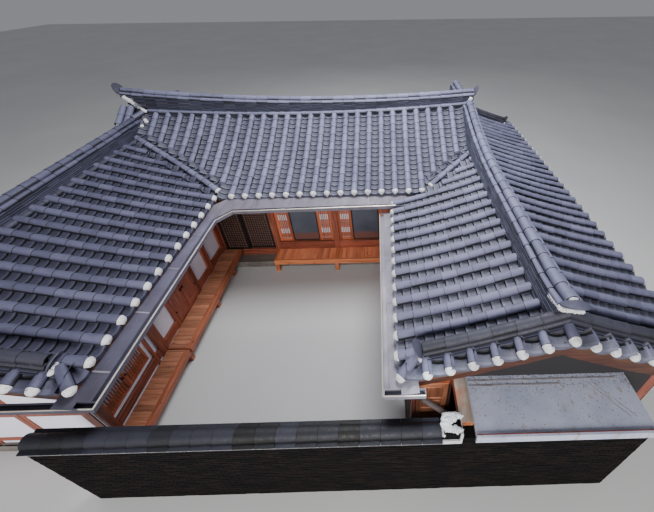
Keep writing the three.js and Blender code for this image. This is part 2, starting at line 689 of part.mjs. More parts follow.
function addWalls() {
  add('main_front_wall', mainFrontWall(), 'wood');
  add('main_door_head', mainDoorHead(), 'wood');
  add('main_front_frame', mainFrontFrame(), 'wood');
  const hole = [[LEFT_X.inner - 400, LEFT_X.inner + 50], LEFT_WINDOW.y, LEFT_WINDOW.z];
  const gableInside = GABLE_Y + OUTER_WALL + SEAT;
  add('left_inner_wall_front', wall(LEFT_CORE_X, [GABLE_Y, LEFT_DOOR_Y[0]], BASE_TOP, [hole]), 'plaster');
  add('left_inner_wall_rear', wall(LEFT_CORE_X, [LEFT_DOOR_Y[1], MAIN_CORE_Y[1]], BASE_TOP), 'plaster');
  const headY = [LEFT_DOOR_Y[0] + SEAT, LEFT_DOOR_Y[1] - SEAT];
  add('left_door_head', wall(LEFT_CORE_X, headY, LEFT_DOOR_Z[1] + 8), 'wood');
  add('left_inner_frame', leftInnerFrame(), 'wood');
  const gable = [GABLE_Y, GABLE_Y + OUTER_WALL];
  add('left_front_wall', wall([LEFT_X.outer, LEFT_CORE_X[0] - SEAT], gable, BASE_TOP), 'plaster');
  const left = [LEFT_X.outer, LEFT_X.outer + OUTER_WALL];
  add('left_outer_wall', wall(left, [gableInside, REAR_Y - OUTER_WALL - SEAT], BASE_TOP), 'plaster');
  add('rear_wall', wall([LEFT_X.outer, RIGHT_X.outer], [REAR_Y - OUTER_WALL, REAR_Y], BASE_TOP), 'plaster');
  const right = [RIGHT_X.outer - OUTER_WALL, RIGHT_X.outer];
  add('right_outer_wall', wall(right, [gableInside, REAR_Y - OUTER_WALL - SEAT], BASE_TOP), 'plaster');
  add('right_front_wall', wall([PANEL_DOOR.x[1], RIGHT_X.outer], gable, BASE_TOP), 'plaster');
  add('right_door_head', wall([RIGHT_CORE_X[0], PANEL_DOOR.x[1] - SEAT], gable, PANEL_DOOR.z[1] + 8), 'wood');
  const rightHole = [[RIGHT_X.inner - 50, RIGHT_X.inner + 400], RIGHT_WINDOW.y, RIGHT_WINDOW.z];
  add('right_inner_wall', wall(RIGHT_CORE_X, [gableInside, MAIN_CORE_Y[1]], BASE_TOP, [rightHole]), 'plaster');
  add('right_inner_frame', rightInnerFrame(), 'wood');
}

function addRoofs() {
  add('main_roof', mainRoof(), 'tile');
  add('left_roof', leftRoof(), 'tile');
  add('right_roof', rightRoof(), 'tile');
  add('main_ridge', mainRidge(), 'tile');
  add('left_front_ridge', leftRidges(LEFT.front + 330, -100, LEFT.front + 330), 'tile');
  add('left_rear_ridge', leftRidges(100, LEFT.rear - 330, LEFT.rear - 330), 'tile');
  add('right_ridge', rightRidges(), 'tile');
  add('left_front_bargeboard', bargeboard(LEFT_SURFACE, LEFT.front + 60, [LEFT.inner - 280, 0]), 'wood');
  add('left_rear_bargeboard', bargeboard(LEFT_SURFACE, LEFT.rear - 90, [LEFT.inner - 280, 0]), 'wood');
  add('right_front_bargeboard', bargeboard(RIGHT_SURFACE, RIGHT.front + 60, [0, RIGHT.inner + 180]), 'wood');
  add('right_rear_bargeboard', bargeboard(RIGHT_SURFACE, RIGHT.rear - 90, [0, RIGHT.inner + 180]), 'wood');
  add('courtyard_gutter', courtyardGutter(), 'metal', 0.4);
  add('right_gutter', rightGutter(), 'metal', 0.4);
  add('downpipe', downpipe(), 'metal', 0.4);
}

function addJoinery() {
  add('main_porch', mainPorch(), 'wood');
  add('left_porch', leftPorch(), 'wood');
  add('main_window_left', bayWindow(BAY_WINDOWS[0]), 'wood');
  add('main_window_right', bayWindow(BAY_WINDOWS[1]), 'wood');
  const { y, z } = LEFT_WINDOW;
  const inset = ([a, b]) => [a + SEAT, b - SEAT];
  add('left_window', leafY([LEFT_X.inner - FRAME - 45, LEFT_X.inner - FRAME], inset(y), inset(z),
    [(y[0] + y[1]) / 2], 14), 'wood');
  const far = RIGHT_WINDOW;
  add('right_window', leafY([RIGHT_X.inner + FRAME, RIGHT_X.inner + FRAME + 45], inset(far.y), inset(far.z),
    [(far.y[0] + far.y[1]) / 2], 14), 'wood');
  add('main_door_left', slidingLeaf([-3322, -2635], [FRONT_Y + 5, FRONT_Y + 45]), 'darkWood');
  add('main_door_right', slidingLeaf([-2665, -1898], [FRONT_Y + 55, FRONT_Y + 95]), 'darkWood');
  add('left_door_front', plankLeaf([LEFT_DOOR_Y[0] + 8, LEFT_DOOR_MIDDLE - LEAF_GAP]), 'wood');
  add('left_door_rear', plankLeaf([LEFT_DOOR_MIDDLE + LEAF_GAP, LEFT_DOOR_Y[1] - 8]), 'wood');
  add('right_door', panelDoor(), 'wood');
}

function addFrontWalls() {
  add('front_wall', frontWall(), 'brick');
  add('front_wall_cap', wallCap(), 'tile');
  add('lean_to_roof', leanToRoof(), 'whitePaint');
  add('lean_to_beam', block([2352, 2535], [-7170, GABLE_Y - SEAT], [1960, 2140]), 'wood');
  add('lean_to_side', leanToSide(), 'wood');
  add('lean_to_end_wall', block([LEAN_TO.x[1] - 120, LEAN_TO.x[1]],
    [LEAN_TO.front + 130 + SEAT, GABLE_Y - 5 - SEAT], [0, LEAN_TO.top]), 'brick');
}

addBases();
addWalls();
addRoofs();
addJoinery();
addFrontWalls();

export default house;
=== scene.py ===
"""Looks of a tile-roofed courtyard house: tiles, timber, joinery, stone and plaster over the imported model."""

import math
import random
from functools import partial
from itertools import product

import bmesh
import bpy
import numpy as np
from mathutils import Matrix, Vector


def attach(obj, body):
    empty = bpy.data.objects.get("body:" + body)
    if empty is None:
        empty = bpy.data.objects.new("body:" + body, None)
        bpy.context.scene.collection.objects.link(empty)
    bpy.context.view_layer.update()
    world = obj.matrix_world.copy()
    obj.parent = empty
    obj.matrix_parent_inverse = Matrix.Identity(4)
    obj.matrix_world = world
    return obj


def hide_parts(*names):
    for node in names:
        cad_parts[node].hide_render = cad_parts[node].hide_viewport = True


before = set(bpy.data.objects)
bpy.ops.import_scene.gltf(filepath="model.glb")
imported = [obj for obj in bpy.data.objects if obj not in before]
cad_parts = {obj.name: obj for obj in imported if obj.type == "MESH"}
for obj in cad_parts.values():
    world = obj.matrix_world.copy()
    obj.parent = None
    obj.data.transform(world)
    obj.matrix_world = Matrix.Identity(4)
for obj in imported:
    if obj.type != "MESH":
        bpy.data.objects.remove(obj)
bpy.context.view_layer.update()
chance = random.Random(11)

# Driving dimensions, in metres
MAIN = {"eave": 2.732, "half": 2.55, "left": -5.7, "right": 3.671, "slope": 0.284, "curve": 0.069,
        "lean": 0.0145, "pitch": 0.32, "ridge_width": 0.34}
LEFT = {"name": "left", "eave": 2.736, "inner": -2.595, "ridge": -5.277, "outer": -7.03, "front": -6.95,
        "rear": 2.15, "slope": 0.223, "curve": 0.025, "pitch": 0.3248, "row": -3.353, "last_row": 9,
        "ridge_width": 0.33, "shoulder": 0.058}
RIGHT = {"name": "right", "eave": 2.537, "inner": 1.556, "ridge": 3.671, "outer": 5.786, "front": -6.79,
         "rear": 2.15, "slope": 0.257, "curve": 0.037, "pitch": 0.3088, "row": -3.105, "last_row": 10,
         "ridge_width": 0.36, "shoulder": 0.048}
SLAB = 0.16  # boards and clay under the tiles
AXIS = 0.095  # middle of a cover tile above the deck
PAN = 0.028  # middle of a pan tile above the deck
COVER = 0.075  # radius of a cover tile
COVER_STEP = 0.265  # length of a cover tile that shows
LAP = 0.012  # length of a cover tile under the next one
PAN_STEP = 0.15
PAN_LIP = 0.028
EAVE_DROP = 0.045  # how much further the first pan tile of a row reaches down
VERGE_REACH = 0.37  # from a gable's edge in to the inner end of its short tiles
VERGE_PITCH = 0.29  # about, from one short tile to the next
VERGE_IN = 0.27  # from a gable's edge in to the low ridge along it
VALLEY_HALF = 0.2
RIDGE_STEP = 0.29
RIDGE_FOOT = 0.06  # lowest layer of a ridge above the deck
RIDGE_CLEAR = 0.14  # cover tiles end this far from the middle of a ridge, and pan tiles at PAN_CLEAR
PAN_CLEAR = 0.1
LAYER = 0.036  # one layer of thin tiles in a ridge
FRONT_Y = -1.83
LEFT_X = -3.36
RIGHT_X = 1.76
GABLE_Y = -6.55
BASE_TOP = 0.21
CREASE = math.radians(35)
UP = Vector((0, 0, 1))


# Shapes gathered into one mesh

class Pile:
    """Many small shapes for one mesh, each with a tint and with coordinates along its grain."""

    def __init__(self, place=None):
        self.place = place  # takes the corners of a block from a wall's own frame to the house
        self.verts = []
        self.grain = []
        self.faces = []
        self.tints = []
        self.count = 0

    def add(self, verts, faces, tint=0.5, grain=None):
        self.verts.append(np.asarray(verts, float))
        self.grain.append(np.asarray(verts if grain is None else grain, float))
        self.faces.extend([[self.count + i for i in face] for face in faces])
        self.tints.extend(np.broadcast_to(tint, len(faces)))
        self.count += len(verts)


def show(name, data):
    obj = bpy.data.objects.new(name, data)
    bpy.context.scene.collection.objects.link(obj)
    return obj


def piece(name, pile, material, body="house", stands_for=()):
    """One mesh from a pile. It rides on a body, has a slot and takes the place of the nodes it stands for."""
    mesh = bpy.data.meshes.new(name)
    mesh.from_pydata(np.concatenate(pile.verts).tolist(), [], pile.faces)
    tint = mesh.attributes.new("tint", "FLOAT", "FACE")
    tint.data.foreach_set("value", np.asarray(pile.tints, np.float32))
    grain = mesh.attributes.new("grain", "FLOAT_VECTOR", "POINT")
    grain.data.foreach_set("vector", np.concatenate(pile.grain).astype(np.float32).ravel())
    work = bmesh.new()
    work.from_mesh(mesh)
    bmesh.ops.recalc_face_normals(work, faces=work.faces)
    work.to_mesh(mesh)
    work.free()
    mesh.polygons.foreach_set("use_smooth", [True] * len(mesh.polygons))
    mesh.set_sharp_from_angle(angle=CREASE)
    mesh.materials.append(material)
    obj = show(name, mesh)
    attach(obj, body)
    if stands_for:
        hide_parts(*stands_for)


def grid_faces(rows, columns, closed=False):
    faces = []
    for j in range(rows - 1):
        for i in range(columns if closed else columns - 1):
            a = j * columns + i
            b = j * columns + (i + 1) % columns
            faces.append((a, b, b + columns, a + columns))
    return faces


def box_faces():
    """The sides, edges and corners of a chamfered box, which has three points at each corner."""
    first = {corner: 3 * i for i, corner in enumerate(product((0, 1), repeat=3))}
    faces = []
    for axis in range(3):
        a, b = [k for k in range(3) if k != axis]

        def point(side, side_a, side_b):
            sides = {axis: side, a: side_a, b: side_b}
            return first[sides[0], sides[1], sides[2]]

        for side in (0, 1):
            faces.append([point(side, *turn) + axis for turn in ((0, 0), (1, 0), (1, 1), (0, 1))])
        for turn in product((0, 1), repeat=2):
            low, high = point(0, *turn), point(1, *turn)
            faces.append([low + a, high + a, high + b, low + b])
    return faces + [[k, k + 1, k + 2] for k in range(0, 24, 3)]


BOX_FACES = box_faces()
BAR_FACES = [(0, 1, 3, 2), (4, 6, 7, 5), (0, 4, 5, 1), (2, 3, 7, 6), (1, 5, 7, 3), (0, 2, 6, 4)]


def block(pile, lo, hi, tint=None, chamfer=0.004, along=None):
    """A box with chamfered edges. Its grain runs along its longest side, or along the axis given."""
    lo, hi = np.minimum(lo, hi), np.maximum(lo, hi)
    size = hi - lo
    inset = min(chamfer, 0.3 * size.min())
    verts = []
    for corner, axis in product(product((0, 1), repeat=3), range(3)):
        cut = [0 if k == axis else inset for k in range(3)]
        verts.append([hi[k] - cut[k] if corner[k] else lo[k] + cut[k] for k in range(3)])
    verts = np.array(verts)
    along = int(np.argmax(size)) if along is None else along
    order = [along] + [k for k in range(3) if k != along]
    grain = verts[:, order] + [chance.uniform(0, 40), chance.uniform(0, 9), chance.uniform(0, 9)]
    if pile.place:
        verts = np.array([pile.place(*v) for v in verts])
    pile.add(verts, BOX_FACES, chance.random() if tint is None else tint, grain)


def level_block(pile, along_x, span, depth, heights, chamfer=0.004, along=None):
    """A block that runs along x or along y."""
    lo, hi = [(s, d, h) if along_x else (d, s, h) for s, d, h in zip(span, depth, heights)]
    block(pile, lo, hi, chamfer=chamfer, along=along)


def bar(pile, ends, sides, lifts, tint=0.5):
    """A straight bar: each end moved to each side and lifted by each amount."""
    corners = [list(end + side + UP * lift) for end, side, lift in product(ends, sides, lifts)]
    pile.add(corners, BAR_FACES, tint)


def lump(pile, centre, radii, rough=0.12):
    """A rounded uneven lump, such as a dab of mortar."""
    rings, around = 6, 10
    verts = [(0, 0, -1)]
    for j in range(1, rings):
        polar = math.pi * j / rings
        for i in range(around):
            turn = 2 * math.pi * i / around
            reach = 1 + chance.uniform(-rough, rough)
            flat = reach * math.sin(polar)
            verts.append((flat * math.cos(turn), flat * math.sin(turn), -reach * math.cos(polar)))
    verts.append((0, 0, 1))
    faces = [(0, 1 + (i + 1) % around, 1 + i) for i in range(around)]
    faces += [tuple(1 + k for k in face) for face in grid_faces(rings - 1, around, closed=True)]
    last = len(verts) - 1
    start = last - around
    faces += [(last, start + i, start + (i + 1) % around) for i in range(around)]
    pile.add(np.array(verts) * radii + np.array(centre), faces)


def tube(pile, points, radius, around=10, tint=0.5):
    points = [Vector(p) for p in points]
    turns = [2 * math.pi * k / around for k in range(around)]
    rings = []
    for i, point in enumerate(points):
        run = (points[min(i + 1, len(points) - 1)] - points[max(i - 1, 0)]).normalized()
        side = run.cross(UP)
        side = Vector((1, 0, 0)) if side.length < 0.05 else side.normalized()
        up = side.cross(run)
        rings += [list(point + side * radius * math.cos(t) + up * radius * math.sin(t)) for t in turns]
    last = (len(points) - 1) * around
    ends = [list(range(around)), [last + k for k in range(around)]]
    pile.add(rings, grid_faces(len(points), around, closed=True) + ends, tint)


def circle(radius, steps):
    return [(radius * math.cos(t), radius * math.sin(t)) for t in np.linspace(0, 2 * math.pi, steps)]


# Procedural materials

def rgba(value):
    """A shader colour from one grey, from three sRGB numbers out of 255 or from four linear ones."""
    if not hasattr(value, "__len__"):
        return (value, value, value, 1)
    if len(value) == 4:
        return value
    parts = [part / 255 for part in value]
    return (*(p / 12.92 if p <= 0.04045 else ((p + 0.055) / 1.055) ** 2.4 for p in parts), 1)


class Look:
    """A material's nodes, with short calls for the ones used here."""

    def __init__(self, name, roughness=0.7, metallic=0.0, shine=0.5):
        self.material = bpy.data.materials.new(name)
        self.material.use_nodes = True
        self.tree = self.material.node_tree
        self.shader = self.tree.nodes["Principled BSDF"]
        self.shader.inputs["Roughness"].default_value = roughness
        self.shader.inputs["Metallic"].default_value = metallic
        self.shader.inputs["Specular IOR Level"].default_value = shine

    def node(self, kind, inputs, **settings):
        made = self.tree.nodes.new("ShaderNode" + kind)
        for key, value in settings.items():
            setattr(made, key, value)
        for key, value in inputs.items():
            if isinstance(value, bpy.types.NodeSocket):
                self.tree.links.new(value, made.inputs[key])
            else:
                made.inputs[key].default_value = value
        return made

    def place(self, scale=(1, 1, 1)):
        source = self.node("TexCoord", {}).outputs["Object"]
        return self.node("Mapping", {"Vector": source, "Scale": scale}).outputs["Vector"]

    def grain(self, scale=(1, 1, 1)):
        source = self.node("Attribute", {}, attribute_name="grain").outputs["Vector"]
        return self.node("Mapping", {"Vector": source, "Scale": scale}).outputs["Vector"]

    def tint(self):
        return self.node("Attribute", {}, attribute_name="tint").outputs["Fac"]

    def noise(self, vector, scale, detail=4.0, roughness=0.55, distortion=0.0):
        inputs = {"Vector": vector, "Scale": scale, "Detail": detail, "Roughness": roughness,
                  "Distortion": distortion}
        return self.node("TexNoise", inputs).outputs["Fac"]

    def ramp(self, value, *stops):
        made = self.node("ValToRGB", {"Fac": value})
        line = made.color_ramp
        while len(line.elements) < len(stops):
            line.elements.new(0.5)
        for element, (at, colour) in zip(line.elements, stops):
            element.position = at
            element.color = rgba(colour)
        return made.outputs["Color"]

    def mix(self, factor, one, two, blend="MIX"):
        one, two = [v if isinstance(v, bpy.types.NodeSocket) else rgba(v) for v in (one, two)]
        made = self.node("Mix", {0: factor, 6: one, 7: two}, data_type="RGBA", blend_type=blend)
        return made.outputs[2]

    def multiply(self, one, two):
        return self.mix(1.0, one, two, "MULTIPLY")

    def axis(self, vector, name):
        return self.node("SeparateXYZ", {"Vector": vector}).outputs[name]

    def scaled(self, value, times, plus):
        return self.node("Math", {0: value, 1: times, 2: plus}, operation="MULTIPLY_ADD").outputs[0]

    def up(self):
        return self.axis(self.node("NewGeometry", {}).outputs["Normal"], "Z")

    def done(self, colour, height=None, strength=0.3, distance=0.01, roughness=None):
        links = self.tree.links
        links.new(colour, self.shader.inputs["Base Color"])
        if height is not None:
            bump = self.node("Bump", {"Height": height, "Strength": strength, "Distance": distance})
            links.new(bump.outputs["Normal"], self.shader.inputs["Normal"])
        if roughness is not None:
            links.new(roughness, self.shader.inputs["Roughness"])
        return self.material


def tile_look(name, dark, light, dust):
    look = Look(name, roughness=0.62)
    spot = look.place()
    fine = look.noise(spot, 26, 5, 0.65)
    # The lowest tints give painted shade at joints, lips and tile edges; the rest run from dark to light.
    joint_shade = (*(0.1 * part for part in rgba(dark)[:3]), 1)
    base = look.ramp(look.tint(), (0, joint_shade), (0.1, joint_shade), (0.13, dark), (1, light))
    worn = look.ramp(look.noise(spot, 1.1, 3), (0.35, (0.9, 0.9, 0.92, 1)), (0.7, 1.08))
    colour = look.mix(look.ramp(fine, (0.6, 0.0), (0.78, 0.4)), look.multiply(base, worn), dust)
    stain = look.ramp(look.noise(spot, 7, 4, 0.6), (0.34, 0.45), (0.46, 0.0))
    colour = look.mix(stain, colour, look.multiply(base, (0.55, 0.56, 0.58, 1)))
    return look.done(colour, fine, 0.35, 0.004, look.ramp(fine, (0.3, 0.5), (0.7, 0.78)))


def wood_look(name, dark, middle, light, knots=0.5, gloss=0.42, spread=0.35):
    """Varnished knotty wood. The grain runs along the first coordinate of the grain attribute."""
    look = Look(name, roughness=gloss)
    streak = look.noise(look.grain((1.3, 17, 17)), 1.0, 6, 0.6, 0.6)
    colour = look.ramp(streak, (0.3, dark), (0.52, middle), (0.74, light))
    colour = look.multiply(colour, look.ramp(look.tint(), (0, 1 - spread), (1, 1 + spread * 0.5)))
    wobble = look.noise(look.grain(), 5, 2)
    warped = look.node("VectorMath", {0: look.grain((2.6, 7.5, 7.5)), 1: wobble}, operation="ADD")
    cells = look.node("TexVoronoi", {"Vector": warped.outputs["Vector"], "Scale": 1.0})
    knot = look.ramp(cells.outputs["Distance"], (0.05, knots), (0.13, 0.0))
    colour = look.mix(knot, colour, (0.018, 0.008, 0.005, 1))
    fine = look.noise(look.grain((4, 90, 90)), 1.0, 3)
    rough = look.ramp(streak, (0.3, gloss + 0.12), (0.7, gloss - 0.06))
    return look.done(colour, fine, 0.25, 0.003, rough)


def plain_wood_look(name, dark, light, scale):
    """Wood on a carried-over node: grain scaled in the node's own axes."""
    look = Look(name, roughness=0.5)
    streak = look.noise(look.place(scale), 1.0, 6, 0.6, 0.5)
    colour = look.ramp(streak, (0.3, dark), (0.72, light))
    worn = look.ramp(look.noise(look.place(), 2.2, 4), (0.35, 0.8), (0.65, 1.1))
    rough = look.ramp(streak, (0.3, 0.65), (0.7, 0.5))
    return look.done(look.multiply(colour, worn), streak, 0.3, 0.004, rough)


def plaster_look(name, clean, stain):
    look = Look(name, roughness=0.85)
    spot = look.place()
    broad = look.ramp(look.noise(spot, 1.4, 5), (0.35, 0.0), (0.75, 0.35))
    return look.done(look.mix(broad, clean, stain), look.noise(spot, 60, 4), 0.15, 0.002)


def mortar_look():
    look = Look("mortar", roughness=0.9)
    spot = look.place()
    fine = look.noise(spot, 38, 5, 0.65)
    colour = look.ramp(fine, (0.3, (186, 186, 194)), (0.55, (228, 228, 232)), (0.8, (240, 239, 238)))
    grime = look.ramp(look.noise(spot, 9, 3), (0.3, 0.5), (0.45, 0.0))
    return look.done(look.mix(grime, colour, (140, 138, 142)), fine, 0.5, 0.006)


def stone_look():
    look = Look("granite", roughness=0.82)
    spot = look.place()
    speck = look.noise(spot, 120, 3, 0.7)
    base = look.ramp(look.tint(), (0, (128, 119, 114)), (1, (166, 158, 153)))
    colour = look.mix(look.ramp(speck, (0.42, 0.6), (0.55, 0.0)), base, (74, 70, 68))
    grime = look.ramp(look.noise(spot, 2.6, 5), (0.4, 0.45), (0.62, 0.0))
    return look.done(look.mix(grime, colour, (88, 80, 72)), speck, 0.4, 0.004)


# Near-black bricks: their darkness is painted shade over the front wall.
def brick_look():
    look = Look("shaded_dark_brick", roughness=0.86, shine=0.1)
    base = look.ramp(look.tint(), (0, (7, 6, 7)), (0.6, (14, 11, 11)), (1, (26, 20, 18)))
    fine = look.noise(look.place(), 45, 5)
    colour = look.mix(look.ramp(fine, (0.5, 0.0), (0.8, 0.4)), base, (34, 31, 30))
    return look.done(colour, fine, 0.4, 0.004)


# The joints are near black too, as painted shade.
def joint_look():
    look = Look("shaded_brick_joint", roughness=0.95, shine=0.1)
    fine = look.noise(look.place(), 30, 5)
    return look.done(look.ramp(fine, (0.3, (9, 8, 8)), (0.7, (19, 17, 16))), fine, 0.5, 0.004)


def metal_look(name, dark, light, roughness, metallic, streaks):
    look = Look(name, metallic=metallic)
    streak = look.noise(look.place(streaks), 1.0, 5, 0.6)
    blotch = look.noise(look.place(), 3.2, 4)
    shade = look.ramp(blotch, (0.3, 0.86), (0.7, 1.08))
    colour = look.multiply(look.ramp(streak, (0.3, dark), (0.7, light)), shade)
    rough = look.ramp(blotch, (0.3, roughness + 0.12), (0.7, roughness - 0.06))
    return look.done(colour, streak, 0.06, 0.003, rough)


def gutter_look():
    """Zinc with painted shade that darkens it towards the street."""
    look = Look("shaded_zinc", roughness=0.55, metallic=0.15)
    spot = look.place()
    streak = look.noise(look.place((3, 0.6, 3)), 1.0, 5, 0.6)
    colour = look.ramp(streak, (0.3, (118, 114, 128)), (0.7, (140, 136, 150)))
    # Painted shade: darker and bluer towards the street
    near = look.scaled(look.axis(spot, "Y"), 0.25, 1.75)
    painted_street_shade = look.ramp(near, (0.0, (0.3, 0.31, 0.38, 1)), (0.55, (0.55, 0.56, 0.68, 1)),
                     (0.93, (0.74, 0.76, 0.9, 1)), (0.985, 0.86))
    colour = look.multiply(colour, painted_street_shade)
    run = look.ramp(look.noise(look.place((5, 1.5, 5)), 1.0, 5, 0.7, 0.4), (0.46, 0.0), (0.7, 0.55))
    colour = look.mix(run, colour, look.multiply(colour, (0.62, 0.5, 0.46, 1)))
    shade = look.ramp(look.noise(spot, 3.2, 4), (0.3, 0.78), (0.7, 1.1))
    return look.done(look.multiply(colour, shade), streak, 0.06, 0.003)


def sheet_look():
    """White paint with rust specks, thick along the edge under the eave."""
    look = Look("white_sheet", roughness=0.5)
    spot = look.place()
    colour = look.ramp(look.noise(spot, 2.4, 5), (0.3, (166, 174, 200)), (0.7, (192, 198, 220)))
    scratch = look.ramp(look.noise(look.place((9, 4, 1)), 1.0, 6, 0.75), (0.58, 0.0), (0.66, 0.55))
    colour = look.mix(scratch, colour, (160, 132, 100))
    speck = look.noise(spot, 55, 2, 0.5)
    few = look.ramp(speck, (0.66, 0.0), (0.70, 1.0))
    many = look.ramp(speck, (0.54, 0.0), (0.60, 0.9))
    edge = look.ramp(look.scaled(look.axis(spot, "Y"), 1.6, 10.95), (0.0, 0.0), (0.5, 1.0))
    colour = look.mix(look.mix(edge, few, many), colour, (112, 82, 58))
    return look.done(colour, speck, 0.2, 0.002)


def beam_look():
    """Grey weathered timber with an orange run of rust down one side."""
    look = Look("weathered_beam", roughness=0.8)
    streak = look.noise(look.place((17, 1.6, 17)), 1.0, 6, 0.65, 0.4)
    top = look.ramp(streak, (0.3, (120, 106, 96)), (0.7, (184, 168, 154)))
    side = look.ramp(streak, (0.3, (112, 58, 34)), (0.5, (166, 96, 58)), (0.72, (196, 150, 110)))
    colour = look.mix(look.ramp(look.up(), (0.3, 0.0), (0.6, 1.0)), side, top)
    stain = look.ramp(look.noise(look.place(), 3.5, 3), (0.5, 0.0), (0.66, 0.7))
    return look.done(look.mix(stain, colour, (178, 92, 44)), streak, 0.5, 0.005)


def glass_look():
    """Dark glass that turns brown towards its foot."""
    look = Look("dark_glass", roughness=0.16)
    spot = look.place()
    cloud = look.noise(spot, 1.2, 2)
    colour = look.ramp(cloud, (0.3, (58, 62, 74)), (0.7, (76, 80, 92)))
    panel = look.ramp(look.axis(spot, "Z"), (0.9, 0.75), (1.0, 0.0))
    return look.done(look.mix(panel, colour, (112, 70, 58)), cloud, 0.02, 0.002)


def paper_look(name, light, dark):
    look = Look(name, roughness=0.9)
    fibre = look.noise(look.place((40, 40, 14)), 1.0, 5)
    return look.done(look.ramp(fibre, (0.3, dark), (0.7, light)), fibre, 0.1, 0.001)


def soffit_look():
    """Dark clay on top of a roof deck, pale boards on its underside and edges."""
    look = Look("roof_deck", roughness=0.85)
    wave = look.noise(look.place((6, 6, 6)), 1.0, 4)
    clay = look.ramp(wave, (0.3, (56, 56, 64)), (0.7, (80, 80, 90)))
    board = look.ramp(look.noise(look.place((2, 16, 16)), 1.0, 5), (0.3, (64, 40, 30)), (0.7, (98, 64, 46)))
    colour = look.mix(look.ramp(look.up(), (0.3, 0.0), (0.5, 1.0)), board, clay)
    return look.done(colour, wave, 0.3, 0.004)


def floor_look():
    look = Look("stage_floor", roughness=0.9)
    soft = look.noise(look.place(), 0.25, 2)
    return look.done(look.ramp(soft, (0.3, (205, 205, 206)), (0.7, (212, 212, 212))))


TILE = tile_look("roof_tile", (90, 91, 115), (122, 123, 151), (156, 157, 177))
# Pan tiles are darker than the cover tiles of their roof: painted shade in the channels between the cover rows.
SHADED_PAN_TILE = tile_look("pan_tile", (58, 59, 74), (96, 97, 115), (138, 139, 154))
SHADED_RIGHT_PAN_TILE = tile_look("shaded_right_pan_tile", (82, 83, 99), (116, 117, 134), (150, 150, 162))
# The left wing's tiles are darker and more violet than the main roof's: the violet is their own tone, the
# darkness painted shade.
SHADED_LEFT_TILE = tile_look("shaded_left_roof_tile", (66, 67, 90), (98, 98, 124), (140, 140, 160))
SHADED_LEFT_PAN_TILE = tile_look("shaded_left_pan_tile", (52, 53, 71), (82, 82, 103), (124, 124, 142))
THIN_TILE = tile_look("ridge_tile", (46, 47, 62), (78, 79, 98), (110, 110, 128))
VERGE_TILE = tile_look("verge_tile", (42, 43, 55), (64, 65, 79), (108, 108, 122))
CAP_TILE = tile_look("wall_cap_tile", (18, 19, 27), (38, 39, 52), (80, 80, 94))
MORTAR = mortar_look()
PLASTER = plaster_look("plaster", (238, 238, 254), (218, 216, 232))
# Grey render on the right gable wall, made near black as painted shade under the verge.
SHADED_GREY_PLASTER = plaster_look("shaded_grey_render", (40, 38, 41), (27, 26, 28))
POSTS = wood_look("varnished_post", (94, 48, 35), (146, 76, 56), (174, 102, 78), 0.95)
# The main porch's boards and beam are lit copies and the left porch's are shaded copies of the same wood:
# painted light and painted shade.
LIT_BOARDS = wood_look("lit_porch_board", (204, 112, 78), (252, 154, 112), (254, 178, 134), 0.9, spread=0.3)
SHADED_LEFT_BOARDS = wood_look("shaded_left_porch_board", (136, 86, 64), (176, 118, 90), (194, 138, 108), 0.85, spread=0.3)
LIT_BEAM = wood_look("lit_porch_beam", (172, 94, 58), (230, 136, 86), (242, 162, 110), 0.9)
SHADED_LEFT_BEAM = wood_look("shaded_left_porch_beam", (124, 66, 44), (172, 98, 68), (190, 120, 88), 0.85)
LATTICE = wood_look("lattice", (130, 62, 38), (176, 92, 58), (194, 114, 78), 0.0)
BLACK = wood_look("black_lattice", (16, 13, 13), (30, 24, 23), (44, 36, 33), 0.0, gloss=0.38)
PLANK = wood_look("plank_leaf", (126, 66, 54), (168, 96, 80), (186, 112, 92), 0.3)
PANEL = wood_look("panel_leaf", (130, 72, 46), (182, 112, 78), (198, 130, 96), 0.2)
SIDE_BOARD = wood_look("side_board", (96, 48, 28), (160, 88, 54), (196, 128, 88), 0.3)
RAFTER = wood_look("rafter", (104, 56, 32), (158, 92, 56), (184, 118, 78), 0.2)
# Brown-red bargeboards, darkened with painted shade under the verges.
SHADED_GABLE_BOARD = plain_wood_look("shaded_gable_board", (54, 28, 20), (88, 48, 33), (1.4, 16, 16))
UPRIGHT_BOARD = plain_wood_look("upright_boards", (136, 62, 34), (188, 96, 56), (16, 16, 1.4))
LEVEL_BOARD = plain_wood_look("level_boards", (128, 58, 32), (180, 92, 52), (1.4, 16, 16))
STONE = stone_look()
SHADED_BRICK = brick_look()
SHADED_JOINT = joint_look()
GUTTER_ZINC = gutter_look()
GALVANISED = metal_look("galvanised", (114, 110, 124), (150, 146, 158), 0.5, 0.15, (3, 0.6, 3))
LIP = metal_look("gutter_lip", (196, 188, 178), (226, 220, 210), 0.3, 0.4, (2, 2, 2))
PIPE = metal_look("brown_pipe", (54, 44, 44), (84, 70, 68), 0.4, 0.3, (3, 3, 1))
IRON = metal_look("black_iron", (12, 11, 12), (34, 32, 33), 0.45, 0.6, (20, 20, 20))
FOLD = metal_look("sheet_fold", (126, 120, 124), (170, 168, 176), 0.6, 0.0, (4, 4, 4))
RUST = metal_look("rusty_edge", (84, 40, 36), (134, 66, 58), 0.75, 0.0, (14, 14, 14))
SHEET = sheet_look()
OLD_BEAM = beam_look()
GLASS = glass_look()
PAPER = paper_look("window_paper", (208, 204, 214), (186, 182, 192))
BROWN_PAPER = paper_look("door_backing", (154, 112, 98), (98, 68, 60))
DECK = soffit_look()
STAGE = floor_look()


# Roof surfaces, as in the model

def main_deck(x, y):
    d = MAIN["half"] - abs(y)
    rise = 0.009 * (x + 0.24) ** 2 * d / MAIN["half"]
    return MAIN["eave"] + MAIN["lean"] * x + MAIN["slope"] * d + MAIN["curve"] * d * d + rise


